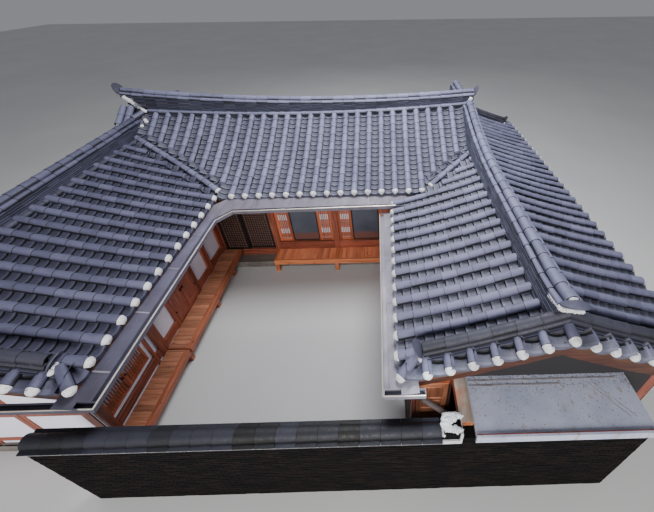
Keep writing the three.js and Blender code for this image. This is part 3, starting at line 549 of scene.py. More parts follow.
def wing_deck(wing, x, y):
    half = abs(wing["ridge"] - wing["inner"])
    d = half - abs(x - wing["ridge"])
    middle = (wing["front"] + wing["rear"]) / 2
    along = (y - middle) / (wing["rear"] - middle)
    return wing["eave"] + wing["slope"] * d + wing["curve"] * d * d + 0.1 * along**6 * d / half


left_deck = partial(wing_deck, LEFT)
right_deck = partial(wing_deck, RIGHT)


def roof_at(x, y):
    """The name of the roof on top at a point in plan. The valleys are alike front and rear."""
    found = [(0, "none")]
    over_main = MAIN["left"] <= x <= MAIN["right"] and abs(y) <= MAIN["half"]
    if over_main:
        found.append((main_deck(x, y), "main"))
    for wing in (LEFT, RIGHT):
        inner, outer = sorted((wing["inner"], wing["outer"]))
        if inner <= x <= outer and wing["front"] <= y <= wing["rear"]:
            found.append((wing_deck(wing, x, y), wing["name"]))
        elif inner <= x <= outer and over_main:
            found.append((wing_deck(wing, x, -abs(y)), "none"))
    return max(found)[1]


def valley_y(x, deck):
    low, high = -MAIN["half"], 0
    if main_deck(x, low) > deck(x, low):
        return low
    for _ in range(30):
        y = (low + high) / 2
        if main_deck(x, y) < deck(x, y):
            low = y
        else:
            high = y
    return low


def valley(deck, start, end, count):
    """Points in plan where a wing's roof meets the front of the main roof."""
    return [Vector((x, valley_y(x, deck))) for x in np.linspace(start, end, count)]


LEFT_VALLEY = valley(left_deck, LEFT["inner"], LEFT["ridge"], 12)
RIGHT_VALLEY = valley(right_deck, 2.46, RIGHT["ridge"], 9)


def valley_distance(x, y):
    point = Vector((x, -abs(y)))
    nearest = math.inf
    for line in (LEFT_VALLEY, RIGHT_VALLEY):
        for a, b in zip(line, line[1:]):
            run = b - a
            t = min(1, max(0, (point - a).dot(run) / run.length_squared))
            nearest = min(nearest, (point - a - run * t).length)
    return nearest


class Slope:
    """One side of a roof: a row is a place along the eave, and d is the distance in from the eave."""

    def __init__(self, roof, deck, half, place):
        self.roof = roof
        self.deck = deck
        self.half = half
        self.place = place

    def point(self, row, d, lift):
        x, y = self.place(row, d)
        return Vector((x, y, self.deck(x, y) + lift))

    def run(self, row):
        """The first and last d at which this roof shows along a row."""
        shown = []
        for d in np.arange(0, self.half, 0.02):
            x, y = self.place(row, d)
            if roof_at(x, y) == self.roof and valley_distance(x, y) > VALLEY_HALF:
                shown.append(d)
        return (shown[0], shown[-1] + 0.02) if len(shown) > 4 else None


def wing_slopes(wing, deck):
    """The courtyard side and the outer side of a wing's roof."""
    name, inner, outer = wing["name"], wing["inner"], wing["outer"]
    side = 1 if wing["ridge"] > inner else -1
    return [
        Slope(name, deck, abs(wing["ridge"] - inner), lambda row, d: (inner + side * d, row)),
        Slope(name, deck, abs(wing["ridge"] - outer), lambda row, d: (outer - side * d, row)),
    ]


MAIN_SLOPES = [
    Slope("main", main_deck, MAIN["half"], lambda row, d: (row, -MAIN["half"] + d)),
    Slope("main", main_deck, MAIN["half"], lambda row, d: (row, MAIN["half"] - d)),
]
LEFT_SLOPES = wing_slopes(LEFT, left_deck)
RIGHT_SLOPES = wing_slopes(RIGHT, right_deck)


# Single tiles

ARC = np.radians(np.linspace(-14, 194, 12))
ACROSS = np.linspace(-1, 1, 8)
JOINT_TINT = 0.0  # the darkest tint, for the shadowed joints between tiles
# The hanging lip of a pan tile at an eave is tinted dark: painted shade.
EAVE_LIP_SHADE = 0.25
# Painted shadow, with some dirt, along the edges of a cover tile
COVER_SHADOW_AND_DIRT = np.array([0.1, 0.2, 0.65] + [1.0] * 5 + [0.65, 0.2, 0.1])
# A painted highlight at the front of a pan tile, and painted shadow at its top, under the next one
PAN_HIGHLIGHT_AND_SHADOW = np.repeat([1.8, 0.9, 0.1], 7)


def axes(a, b):
    """Unit vectors along, across and out of a tile that runs from a to b."""
    along = (b - a).normalized()
    across = along.cross(UP).normalized()
    return [np.array(v) for v in (along, across, across.cross(along))]


def strip(pile, lines, tint):
    """A surface through lines of points."""
    pile.add(np.concatenate(lines), grid_faces(len(lines), len(lines[0])), tint)


def cover_tile(pile, a, b, radius=COVER, thick=0.016, tint=None):
    """A half-round tile from its lower end a, where it is a little wider and shows its thickness."""
    along, across, out = axes(a, b)

    def arc(middle, r):
        return middle + np.outer(np.cos(ARC) * r, across) + np.outer(np.sin(ARC) * r, out)

    start = np.array(a)
    mouth = arc(start + along * 0.006, radius + 0.004)
    strip(pile, [arc(start, radius + 0.002 - thick), arc(start, radius + 0.002), mouth], JOINT_TINT)
    tint = chance.uniform(0.35, 0.9) if tint is None else tint
    strip(pile, [mouth, arc(np.array(b), radius - 0.004)], tint * COVER_SHADOW_AND_DIRT)


def pan_tile(pile, a, b, half_width, sag=0.1, drop=0.0):
    """A dished tile with its front lip at a, over the next tile, or hanging down by drop more at an eave."""
    along, across, out = axes(a, b)
    dish = np.outer(sag * ACROSS**2, out) + np.outer(ACROSS * half_width, across)
    front = np.array(a) + out * PAN_LIP * 0.8
    foot = front - out * (PAN_LIP + drop) if drop else front - along * 0.016 - out * PAN_LIP
    strip(pile, [foot + dish, front + dish], EAVE_LIP_SHADE if drop else JOINT_TINT)
    lines = [front + (np.array(b) - front) * t + dish for t in (0, 0.2, 0.75, 1)]
    strip(pile, lines, chance.uniform(0.45, 0.65) * PAN_HIGHLIGHT_AND_SHADOW)


def end_cap(pile, at, outward, radius=COVER, bulge=0.075):
    """The plug in the open end of a cover tile."""
    outward = Vector(outward).normalized()
    across = outward.cross(UP).normalized()
    up = across.cross(outward)
    around = 14
    verts = []
    for reach, depth in ((1.0, -0.02), (0.98, 0.25), (0.8, 0.72), (0.45, 0.98)):
        for i in range(around):
            turn = 2 * math.pi * i / around
            r = radius * reach * (1 + chance.uniform(-0.05, 0.05))
            narrow = 1 - 0.18 * max(0, -math.sin(turn))
            point = at + across * r * math.cos(turn) * narrow + up * r * math.sin(turn)
            verts.append(list(point + outward * bulge * depth))
    verts.append(list(at + outward * bulge))
    faces = grid_faces(4, around, closed=True)
    faces += [(3 * around + i, 3 * around + (i + 1) % around, 4 * around) for i in range(around)]
    pile.add(verts, faces, chance.random())


def crescent(pile, at, outward, radius, lean=0.45, thick=0.022):
    """A thin arched tile that closes a ridge end and leans outward."""
    at, outward = Vector(at), Vector(outward).normalized()
    across = outward.cross(UP).normalized()
    up = (UP * math.cos(lean) + outward * math.sin(lean)).normalized()
    face = across.cross(up)
    if face.dot(outward) < 0:
        face = -face
    turns = np.radians(np.linspace(-28, 208, 15))
    verts = []
    for depth, reach, turn in product((0, thick), (0.0, 0.55, 0.88, 1.0), turns):
        point = at + across * radius * reach * math.cos(turn) + up * radius * reach * 1.12 * math.sin(turn)
        verts.append(list(point + face * (0.05 * reach**2 * radius / 0.15 + depth)))
    count, back = len(turns), 4 * len(turns)
    inner = grid_faces(4, count)
    rim = [(3 * count + i, 3 * count + i + 1) for i in range(count - 1)]
    rim += [(j * count + i, (j + 1) * count + i) for i in (0, count - 1) for j in range(3)]
    faces = inner + [tuple(back + k for k in reversed(f)) for f in inner]
    pile.add(verts, faces + [(a, b, back + b, back + a) for a, b in rim], chance.random())


# Rows of tiles

def cover_row(pile, mortar, slope, row, start, end, at_eave=True):
    """Cover tiles up a slope with a plug at the foot, and a dab of mortar here and there."""
    d = start
    while d < end - 0.04:
        a = slope.point(row, d, AXIS)
        b = slope.point(row, min(d + COVER_STEP, end), AXIS)
        step = (min(d + COVER_STEP, end) - d) * COVER_STEP / max((b - a).length, COVER_STEP * 0.5)
        cover_tile(pile, a, slope.point(row, d + step + LAP, AXIS))
        d += step
    first = slope.point(row, start, AXIS)
    outward = (first - slope.point(row, start + 0.2, AXIS)).normalized()
    if at_eave:
        end_cap(mortar, first, outward)
        lump(mortar, first + outward * 0.02 - UP * COVER * 0.8, (0.022, 0.022, 0.03))
    else:
        end_cap(pile, first, outward, bulge=0.02)
        if chance.random() < 0.6:
            lump(mortar, first - UP * 0.02 + outward * 0.02, (0.026, 0.026, 0.022))
    if chance.random() < 0.35:
        lump(mortar, slope.point(row, end - 0.02, AXIS + 0.05), (0.026, 0.026, 0.018))


def pan_row(pile, slope, row, start, end, half_width, at_eave):
    """Pan tiles up a slope. At an eave the first one reaches out a little and hangs down."""
    d = start - (0.035 if at_eave else 0.0)
    drop = EAVE_DROP if at_eave else 0.0
    while d < end - 0.03:
        a = slope.point(row, d, PAN)
        b = slope.point(row, d + PAN_STEP + 0.01, PAN)
        step = PAN_STEP * PAN_STEP / max((b - a).length - 0.01, 0.1)
        pan_tile(pile, a, slope.point(row, d + step + 0.02, PAN), half_width, drop=drop)
        d += step
        drop = 0.0


def lay_slope(covers, pans, mortar, slope, rows, pitch, short_rows=()):
    """Rows of cover tiles with rows of pan tiles between them, and short rows at the verges."""
    for row in rows:
        run = slope.run(row)
        if run:
            end = min(run[1], slope.half - RIDGE_CLEAR)
            cover_row(covers, mortar, slope, row, run[0], end, run[0] < 0.01)
    for row in short_rows:
        cover_row(covers, mortar, slope, row, 0.0, 0.45)
    for row in [*rows, rows[-1] + pitch]:
        middle = row - pitch / 2
        run = slope.run(middle)
        if run:
            end = min(run[1], slope.half - PAN_CLEAR)
            pan_row(pans, slope, middle, run[0], end, pitch * 0.47, run[0] < 0.01)


def verge_tiles(covers, pans, mortar, wing, deck, edge, out):
    """Short tiles that point outward over a gable, and one on the diagonal at each eave corner."""
    def at(x, inset, lift):
        return Vector((x, edge - out * inset, deck(x, edge - out * max(inset, 0)) + lift))

    for eave_x in (wing["inner"], wing["outer"]):
        side = math.copysign(1, eave_x - wing["ridge"])
        reach = abs(eave_x - wing["ridge"]) - VERGE_REACH
        count = round(reach / VERGE_PITCH)
        pitch = reach / count
        for i in range(0 if side > 0 else 1, count + 1):
            x = wing["ridge"] + side * i * pitch
            outer, inner = at(x, -0.01, 0.045), at(x, VERGE_REACH, 0.11)
            cover_tile(covers, outer, inner, COVER * 0.98)
            end_cap(mortar, outer, outer - inner)
        for i in range(count + 1):
            x = wing["ridge"] + side * (i + 0.5) * pitch
            outer, middle, inner = at(x, -0.04, -0.01), at(x, 0.14, 0.03), at(x, 0.36, 0.07)
            pan_tile(pans, outer, middle, pitch * 0.48, sag=0.07, drop=0.05)
            pan_tile(pans, middle, inner, pitch * 0.48, sag=0.07)
        corner_tiles(covers, pans, mortar, deck, eave_x, edge, side, out)


def corner_tiles(covers, pans, mortar, deck, eave_x, edge, side, out):
    """The tiles that turn an eave corner: a cover tile on the diagonal over two fanned pan tiles."""
    def at(inset_x, inset_y, lift):
        x, y = eave_x - side * inset_x, edge - out * inset_y
        return Vector((x, y, deck(x, y) + lift))

    outer, inner = at(0.02, 0.02, 0.035), at(0.27, 0.27, 0.085)
    cover_tile(covers, outer, inner)
    end_cap(mortar, outer, outer - inner)
    for near in (at(-0.02, 0.16, 0.0), at(0.16, -0.02, 0.0)):
        pan_tile(pans, near, at(0.27, 0.27, 0.03), 0.1, sag=0.05, drop=EAVE_DROP)


def valley_tiles(covers, pans, mortar, line, deck, mirror):
    """A row of cover tiles down a valley with a channel of pan tiles on each side."""
    points = [Vector((p.x, p.y * mirror, main_deck(p.x, p.y))) for p in line]
    lengths = np.cumsum([0] + [(b - a).length for a, b in zip(points, points[1:])])
    flat = np.array(points)

    def on_line(s):
        return Vector([np.interp(s, lengths, flat[:, k]) for k in range(3)])

    def at(s, lift, aside=0.0):
        p, q = on_line(s), on_line(min(s + 0.05, lengths[-1]))
        if (q - p).length < 1e-4:
            q = p + (points[-1] - points[-2])
        p += (q - p).cross(UP).normalized() * aside
        return Vector((p.x, p.y, max(main_deck(p.x, p.y), deck(p.x, -abs(p.y))) + lift))

    top = lengths[-1] - 0.1
    s = 0.0
    while s < top:
        cover_tile(covers, at(s, AXIS + 0.02), at(min(s + COVER_STEP + LAP, top + 0.05), AXIS + 0.02))
        s += COVER_STEP
    end_cap(mortar, at(0, AXIS + 0.02), at(0, AXIS) - at(0.2, AXIS), bulge=0.05)
    from_eave = points[0].z < 2.9
    for aside in (-0.13, 0.13):
        for s in np.arange(0, top, PAN_STEP):
            drop = EAVE_DROP if s == 0 and from_eave else 0.0
            end = at(min(s + PAN_STEP + 0.01, top + 0.06), PAN + 0.012, aside)
            pan_tile(pans, at(s, PAN + 0.012, aside), end, 0.125, sag=0.06, drop=drop)


# Ridges

def along_path(points, step):
    """Points every step along a line, each with what else it carries."""
    flat = np.array(points, float)
    lengths = np.concatenate([[0], np.cumsum(np.linalg.norm(np.diff(flat[:, :2], axis=0), axis=1))])
    count = max(1, round(lengths[-1] / step))
    stations = np.linspace(0, lengths[-1], count + 1)
    return [np.array([np.interp(s, lengths, flat[:, k]) for k in range(flat.shape[1])]) for s in stations]


def ridge_run(covers, thin, points, width, foot, crown, shoulder, slant=0.0, below=None):
    """A ridge along points of x, y, deck and top height. A row of tiles at its foot goes to below."""
    stations = along_path(points, RIDGE_STEP)
    run = Vector((*(stations[-1][:2] - stations[0][:2]), 0)).normalized()
    side = Vector((-run.y, run.x, 0))
    fall = 0.5 * crown + 0.3 * shoulder
    for i, (p, q) in enumerate(zip(stations, stations[1:])):
        a, b = (Vector((end[0], end[1], end[3] - crown)) for end in (p, q))
        grow = (b - a) * 0.05
        cover_tile(covers, a, b + grow, crown)
        for hand in (-1, 1):
            shift = side * hand * (width / 2 - shoulder - 0.012) - UP * fall
            cover_tile(covers, a + shift, b + shift + grow, shoulder)
        top_drop = crown + fall + 0.012
        ridge_layers(thin, p, q, side, width, foot, top_drop, slant, (i + 0.3) * RIDGE_STEP)
        if below and i * RIDGE_STEP >= slant:
            a, b = Vector(p[:3]), Vector(q[:3])
            for hand in (-1, 1):
                shift = side * hand * (width / 2 + 0.02) + UP * (0.1 - 0.5 * (width / 2 + 0.035))
                cover_tile(below, a + shift, b + shift + grow, 0.065)


def ridge_layers(pile, p, q, side, width, foot, top_drop, slant, reached):
    """The thin tiles stacked in one step of a ridge. At a slanted start the lower ones are left out."""
    low, high = p[2] + foot, p[3] - top_drop
    far_low, far_high = q[2] + foot, q[3] - top_drop
    count = max(2, round((high - low) / LAYER))
    tilt = 0.012 if slant else 0.003
    past = Vector((side.y, -side.x, 0)) * 0.003
    thickness = 0.27 * (high - low) / count
    for k in range(count):
        share = (k + 0.5) / count
        if slant and reached < slant * (1 - share):
            continue
        half = width / 2 - 0.012 + 0.035 * (1 - k / count) + chance.uniform(-0.005, 0.005)
        near = Vector((p[0], p[1], low + (high - low) * share - tilt - 0.006)) - past
        far = Vector((q[0], q[1], far_low + (far_high - far_low) * share + tilt - 0.006)) + past
        sides = (side * -half, side * half)
        bar(pile, (near, far), sides, (-thickness, thickness), chance.uniform(0.2, 1.0))


def heart(pile, points, width, foot):
    """The clay core inside a ridge, seen only in the joints."""
    stations = along_path(points, 0.6)
    run = Vector(stations[-1][:2] - stations[0][:2]).normalized()
    side = np.array((-run.y, run.x)) * (width / 2 - 0.05)
    verts = []
    for p in stations:
        for hand, z in ((-1, p[2] + foot), (-1, p[3]), (1, p[3]), (1, p[2] + foot)):
            verts.append([*(p[:2] + side * hand), z - 0.12])
    last = 4 * (len(stations) - 1)
    ends = [(0, 1, 2, 3), (last, last + 1, last + 2, last + 3)]
    # Its low tint gives it the darkest colour: painted shade in the joints between the layers.
    pile.add(verts, grid_faces(len(stations), 4, closed=True) + ends, 0.1)


def main_ridge_top(x):
    return 4.31 + 0.01 * x * x


def right_ridge_top(y):
    if y > -3.3:
        return 3.745 + 0.055 * (3.3 + min(y, -0.4)) ** 2
    return 3.745 + max(0, -6.15 - y) * 0.22


def left_ridge_top(y):
    return 3.93 + 0.016 * max(0, y + 4.3)


def mortar_line(mortar, start, end, count, radii, mirror=1):
    """Dabs of mortar side by side from start to end, in front of the main ridge or behind it."""
    for x, y, z in np.linspace(start, end, count):
        lump(mortar, (x, y * mirror, z), radii)


def build_main_roof():
    covers, pans, mortar, thin = Pile(), Pile(), Pile(), Pile()
    rows = [-2.24 + MAIN["pitch"] * k for k in range(-9, 19)]
    clear = [x for x in rows if abs(x - LEFT["ridge"]) > 0.25 and abs(x - RIGHT["ridge"]) > 0.25]
    for slope in MAIN_SLOPES:
        lay_slope(covers, pans, mortar, slope, clear, MAIN["pitch"])
    for mirror in (1, -1):
        valley_tiles(covers, pans, mortar, LEFT_VALLEY, left_deck, mirror)
        valley_tiles(covers, pans, mortar, RIGHT_VALLEY, right_deck, mirror)
    piece("main_cover_tiles", covers, TILE)
    piece("main_pan_tiles", pans, SHADED_PAN_TILE)
    covers = Pile()
    start, end = -5.6, 3.8
    line = [[x, 0, main_deck(x, 0), main_ridge_top(x)] for x in np.linspace(start, end, 20)]
    ridge_run(covers, thin, line, MAIN["ridge_width"], RIDGE_FOOT, 0.085, 0.055, slant=0.42, below=covers)
    heart(thin, line[1:-1], MAIN["ridge_width"], RIDGE_FOOT)
    crescent(thin, (start, 0, main_ridge_top(start) - 0.03), (-1, 0, 0), 0.17)
    crescent(thin, (end, 0, main_ridge_top(end) - 0.06), (1, 0, 0), 0.15)
    for mirror in (1, -1):
        main_verge(covers, thin, mirror)
        mortar_line(mortar, (-5.14, -0.2, 4.09), (-5.05, -0.25, 4.06), 4, (0.045, 0.045, 0.04), mirror)
        for x, y, z in ((-5.03, -0.42, 3.88), (-5.05, -0.6, 3.78), (-4.99, -0.46, 3.84)):
            lump(mortar, (x, y * mirror, z), (0.045, 0.05, 0.04))
        mortar_line(mortar, (-5.5, -0.15, 4.4), (-5.23, -0.15, 4.15), 6, (0.075, 0.035, 0.055), mirror)
        mortar_line(mortar, (3.72, -0.19, 4.22), (3.54, -0.19, 3.92), 5, (0.06, 0.04, 0.06), mirror)
    piece("main_ridge_covers", covers, TILE, stands_for=["main_ridge"])
    piece("main_ridge_layers", thin, THIN_TILE)
    piece("main_roof_mortar", mortar, MORTAR)


def main_verge(covers, thin, mirror):
    """The short rows beside the left end of the main ridge, where it meets the wing."""
    for x, low, high in ((-5.64, -0.62, -0.14), (-5.44, -0.66, -0.14)):
        points = [Vector((x, y * mirror, main_deck(x, y) + 0.17)) for y in np.linspace(low, high, 3)]
        for a, b in zip(points, points[1:]):
            cover_tile(covers, a, b, 0.085)
    crescent(thin, (-5.56, -0.66 * mirror, main_deck(-5.56, 0.66) + 0.1), (0, -mirror, 0), 0.16)
    ends = Vector((LEFT["ridge"], -0.5 * mirror, 3.93)), Vector((-5.12, -0.18 * mirror, 4.01))
    cover_tile(covers, *ends, 0.088)


def build_wing_roof(wing, deck, slopes, top, spines, nodes, looks, below=False):
    covers, pans, mortar, thin = Pile(), Pile(), Pile(), Pile()
    name, pitch, width, ridge = wing["name"], wing["pitch"], wing["ridge_width"], wing["ridge"]
    rows = [wing["row"] - pitch * k for k in range(-15, wing["last_row"] + 1)]
    edge_rows = [wing["row"] - pitch * (wing["last_row"] + 1), wing["row"] + pitch * 16]
    for slope in slopes:
        lay_slope(covers, pans, mortar, slope, rows[::-1], pitch, edge_rows)
    for edge, out in ((wing["front"], -1), (wing["rear"], 1)):
        verge_tiles(covers, pans, mortar, wing, deck, edge, out)
    cover_look, pan_look = looks
    piece(f"{name}_cover_tiles", covers, cover_look)
    piece(f"{name}_pan_tiles", pans, pan_look)
    covers, verges = Pile(), Pile()
    for start, end in spines:
        line = [[ridge, y, deck(ridge, y), top(y)] for y in np.linspace(start, end, 20)]
        # With below, as on the left wing, the foot rows of the ridges take the darker thin tiles: painted
        # shade.
        foot_row = thin if below else None
        ridge_run(covers, thin, line, width, RIDGE_FOOT, 0.088, wing["shoulder"], below=foot_row)
        heart(thin, line, width, RIDGE_FOOT)
    front, rear = wing["front"] + VERGE_IN, wing["rear"] - VERGE_IN
    for y in (front, rear):
        for eave in (wing["inner"], wing["outer"]):
            verge_ridge(verges, thin, mortar, deck, y, ridge, eave)
    high = top(front)
    crescent(thin, (ridge, front - 0.01, high - 0.02), (0, -1, 0), 0.17, lean=0.95, thick=0.018)
    end_cap(mortar, Vector((ridge, front + 0.01, high - 0.088)), (0, -1, 0), 0.085, 0.05)
    for k in range(6):
        lump(mortar, (ridge + 0.05 * (k - 2), front - 0.02, high - 0.19 - 0.01 * k), (0.04, 0.04, 0.035))
        lump(mortar, (ridge - 0.15, front - 0.01 + 0.045 * k, high - 0.16 - 0.015 * k), (0.03, 0.045, 0.04))
    piece(f"{name}_ridge_covers", covers, cover_look, stands_for=nodes)
    piece(f"{name}_verge_covers", verges, VERGE_TILE)
    piece(f"{name}_ridge_layers", thin, THIN_TILE)
    piece(f"{name}_roof_mortar", mortar, MORTAR)


def verge_ridge(covers, thin, mortar, deck, y, ridge, eave):
    """A low ridge down a gable from the main ridge of a wing to its eave, closed at the foot."""
    side = math.copysign(1, eave - ridge)
    width, foot, height = 0.24, 0.1, 0.29
    xs = np.linspace(ridge, eave - side * 0.33, 9)[::-1]
    line = [[x, y, deck(x, y), deck(x, y) + height] for x in xs]
    ridge_run(covers, thin, line, width, foot, 0.075, 0.045)
    heart(thin, line, width, foot)
    x, low = line[0][0], line[0][2]
    crescent(thin, (x + side * 0.02, y, low + 0.22), (side, 0, 0), 0.13, lean=0.6, thick=0.016)
    x += side * 0.04
    mortar_line(mortar, (x, y - 0.09, low + 0.1), (x, y + 0.09, low + 0.1), 4, (0.04, 0.05, 0.04))


def build_rafters():
    """Round rafters under the eaves that can be seen."""
    rafters = Pile()
    runs = [(slope, -2.1, 1.9, 0.72) for slope in MAIN_SLOPES]
    runs += [(LEFT_SLOPES[0], -6.4, -2.7, 0.72), (LEFT_SLOPES[1], -6.4, 1.9, 0.72)]
    runs += [(RIGHT_SLOPES[1], -6.3, 1.9, 0.2)]
    for slope, start, end, reach in runs:
        for row in np.arange(start, end, 0.3):
            a, b = (slope.point(row, d, -SLAB - 0.045) for d in (0.1, reach))
            tube(rafters, [a, (a + b) / 2, b], 0.045, 8, chance.random())
    piece("rafters", rafters, RAFTER)


# Joinery, in wall frames of u along the wall, n in from its face and w up

FRAME_DEPTH = 0.06
LATTICE_N = (0.06, 0.105)
RECESS = 0.002  # rails lie this far behind their stiles


def main_front(u, n, w):
    return (u, FRONT_Y + n, w)


def left_front(u, n, w):
    return (LEFT_X - n, u, w)


def right_front(u, n, w):
    return (RIGHT_X + n, u, w)


def gable_front(u, n, w):
    return (u, GABLE_Y - 0.002 + n, w)


def timber_frame(name, place, deck, posts, rails):
    """Posts up to the boards under a roof deck, and the rails between them."""
    wood = Pile(place)
    for a, b in posts:
        top = deck((a + b) / 2) - SLAB - 0.002
        block(wood, (a, 0, BASE_TOP), (b, FRAME_DEPTH, top), chamfer=0.006)
    for a, b, low, high in rails:
        block(wood, (a, 0.004, low), (b, FRAME_DEPTH, high), chamfer=0.006)
    piece(f"{name}_timbers", wood, POSTS, stands_for=[f"{name}_frame"])


def build_frames():
    posts = [(-3.3597, -3.33), (-1.885, -1.725), (-0.165, -0.005), (1.555, 1.715)]
    bays = [(-3.33, -1.885, 0.4297), (-1.725, -0.165, 0.6797), (-0.005, 1.555, 0.6797),
            (1.715, 1.7597, 0.6797)]
    rails = [(a, b, *span) for a, b, sill in bays for span in ((BASE_TOP, sill), (2.406, 2.6))]
    timber_frame("main_front", main_front, lambda u: main_deck(u, FRONT_Y + FRAME_DEPTH), posts, rails)
    track = Pile(main_front)
    block(track, (-3.33, FRAME_DEPTH, BASE_TOP), (-1.8903, 0.13, 0.4297))
    piece("door_track", track, POSTS)

    posts = [(-6.55, -6.43), (-5.28, -5.23), (-5.11, -4.91), (-4.44, -4.35), (-3.47, -3.34), (-2.8, -2.62),
             (-2.01, -1.8303)]
    bays = [(-6.43, -5.28), (-5.23, -5.11), (-4.91, -4.44), (-3.34, -2.8), (-2.62, -2.01)]
    rails = [(*bay, *span) for span in ((0.5, 0.7), (2.338, 2.5)) for bay in bays]
    rails += [(-4.35, -3.47, 0.5, 0.5697), (-4.35, -3.47, 2.338, 2.5)]
    timber_frame("left_inner", left_front, lambda u: left_deck(LEFT_X - 0.001, u), posts, rails)

    posts = [(-6.55, -6.45), (-4.84, -4.66), (-3.4, -3.22), (-2.01, -1.83)]
    bays = [(-6.45, -4.84), (-4.66, -3.4), (-3.22, -2.01)]
    rails = [(*bay, *span) for span in ((0.5, 0.7), (1.91, 2.06)) for bay in bays]
    timber_frame("right_inner", right_front, lambda u: right_deck(RIGHT_X + 0.001, u), posts, rails)


def leaf_frame(wood, u, n, w, stile, rails, recess=RECESS):
    """Two stiles and the rails between them. Returns the span between the stiles."""
    a, b = u[0] + stile, u[1] - stile
    block(wood, (u[0], n[0], w[0]), (a, n[1], w[1]))
    block(wood, (b, n[0], w[0]), (u[1], n[1], w[1]))
    for low, high in rails:
        block(wood, (a, n[0] + recess, low), (b, n[1], high))
    return a, b


def upright_bars(wood, places, half, n, w):
    for u in places:
        block(wood, (u - half, n[0], w[0]), (u + half, n[1], w[1]), chamfer=0.001)


def cross_bars(wood, heights, half, n, u):
    for w in heights:
        block(wood, (u[0], n[0], w - half), (u[1], n[1], w + half), chamfer=0.001)


def lattice_leaf(wood, paper, u, w, bands, uprights, stile=0.05, pitch=0.036):
    """A leaf with upright bars all over and close cross bars in bands, over paper."""
    n, half = LATTICE_N, 0.009
    inner = leaf_frame(wood, u, n, w, stile, [(z, z + stile) for z in (w[0], w[1] - stile)])

    def layer(front, back):
        return [n[0] + share * (n[1] - n[0]) for share in (front, back)]

    places = np.linspace(*inner, uprights + 2)[1:-1]
    upright_bars(wood, places, half, layer(0.2, 0.55), (w[0] + stile, w[1] - stile))
    for low, high in bands:
        count = max(2, round((high - low) / pitch))
        heights = np.linspace(low, high, count + 1)
        clear = [z for z in heights if w[0] + stile + 0.01 < z < w[1] - stile - 0.01]
        cross_bars(wood, clear, half, layer(0.22, 0.57), inner)
    front, back = layer(0.6, 0.72)
    block(paper, (u[0] + 0.02, front, w[0] + 0.02), (u[1] - 0.02, back, w[1] - 0.02), chamfer=0.001)


def build_main_windows():
    """Two bays: a lattice leaf at each side, dark glass between them and a row of short lattices above."""
    front, back = LATTICE_N
    low, transom, high = 0.6803, 1.86, 2.3597
    for name, left, right in (("main_window_left", -1.7147, -0.1753), ("main_window_right", 0.0053, 1.5447)):
        wood, paper, glass, dark = (Pile(main_front) for _ in range(4))
        a, b = left + 0.39, right - 0.39
        for u in ((left, a), (b, right)):
            bands = ((0.73, 0.93), (1.14, 1.40), (1.62, 1.80))
            lattice_leaf(wood, paper, u, (low, transom), bands, 4, stile=0.075)
        for edge in ((a, a + 0.03), (b - 0.03, b)):
            block(dark, (edge[0], front + 0.006, low), (edge[1], back, transom))
        block(dark, (a, front + 0.008, low), (b, back, low + 0.03))
        block(glass, (a + 0.03, front + 0.018, low + 0.03), (b - 0.03, front + 0.026, transom))
        block(wood, (left, front - 0.004, transom), (right, back, transom + 0.08))
        quarter = (right - left) / 4
        for k in range(4):
            u = (left + k * quarter, left + (k + 1) * quarter)
            lattice_leaf(wood, paper, u, (transom + 0.08, high), ((1.98, 2.08), (2.22, 2.32)), 5, pitch=0.034)
        piece(f"{name}_lattice", wood, LATTICE, stands_for=[name])
        piece(f"{name}_paper", paper, PAPER)
        piece(f"{name}_glass", glass, GLASS)
        piece(f"{name}_edge", dark, BLACK)


SIDE_WINDOWS = (
    ("left_window", left_front, ((-6.4197, -5.8815), (-5.8785, -5.3403)), (0.7603, 2.2497),
     ((0.81, 1.02), (1.44, 1.66), (2.05, 2.2))),
    ("right_window", right_front, ((-4.6597, -4.0315), (-4.0285, -3.4003)), (0.7603, 1.8997),
     ((0.81, 0.95), (1.22, 1.44), (1.7, 1.85))),
)


def build_side_windows():
    for name, place, leaves, w, bands in SIDE_WINDOWS:
        wood, paper = Pile(place), Pile(place)
        for u in leaves:
            lattice_leaf(wood, paper, u, w, bands, 8)
        piece(f"{name}_lattice", wood, LATTICE, stands_for=[name])
        piece(f"{name}_paper", paper, PAPER)
    iron = Pile()
    for y in (-5.915, -5.845):
        tube(iron, [left_front(y, 0.058, 1.1), left_front(y, 0.04, 1.1)], 0.022)
    for y in (-4.33, -3.49):
        tube(iron, [left_front(y, 0.001, 0.86), left_front(y, -0.018, 0.86)], 0.02)
    piece("left_wall_iron", iron, IRON)


def build_sliding_doors():
    low, high = 0.4303, 2.392
    stile, half = 0.075, 0.013
    for name, u, front in (("main_door_left", (-3.322, -2.635), 0.005),
                           ("main_door_right", (-2.665, -1.898), 0.055)):
        wood, backing = Pile(main_front), Pile(main_front)
        rails = ((low, low + stile), (high - 0.06, high))
        a, b = leaf_frame(wood, u, (front, front + 0.04), (low, high), stile, rails)
        places = np.linspace(a, b, round((b - a) / 0.064) + 1)[1:-1]
        upright_bars(wood, places, half, (front + 0.008, front + 0.022), (low + 0.07, high - 0.05))
        heights = np.arange(low + 0.13, high - 0.08, 0.066)
        cross_bars(wood, heights, half, (front + 0.009, front + 0.023), (a, b))
        block(backing, (u[0] + 0.03, front + 0.024, low + 0.03), (u[1] - 0.03, front + 0.03, high - 0.03),
              chamfer=0.001)
        piece(f"{name}_lattice", wood, BLACK, body=name, stands_for=[name])
        piece(f"{name}_backing", backing, BROWN_PAPER, body=name)


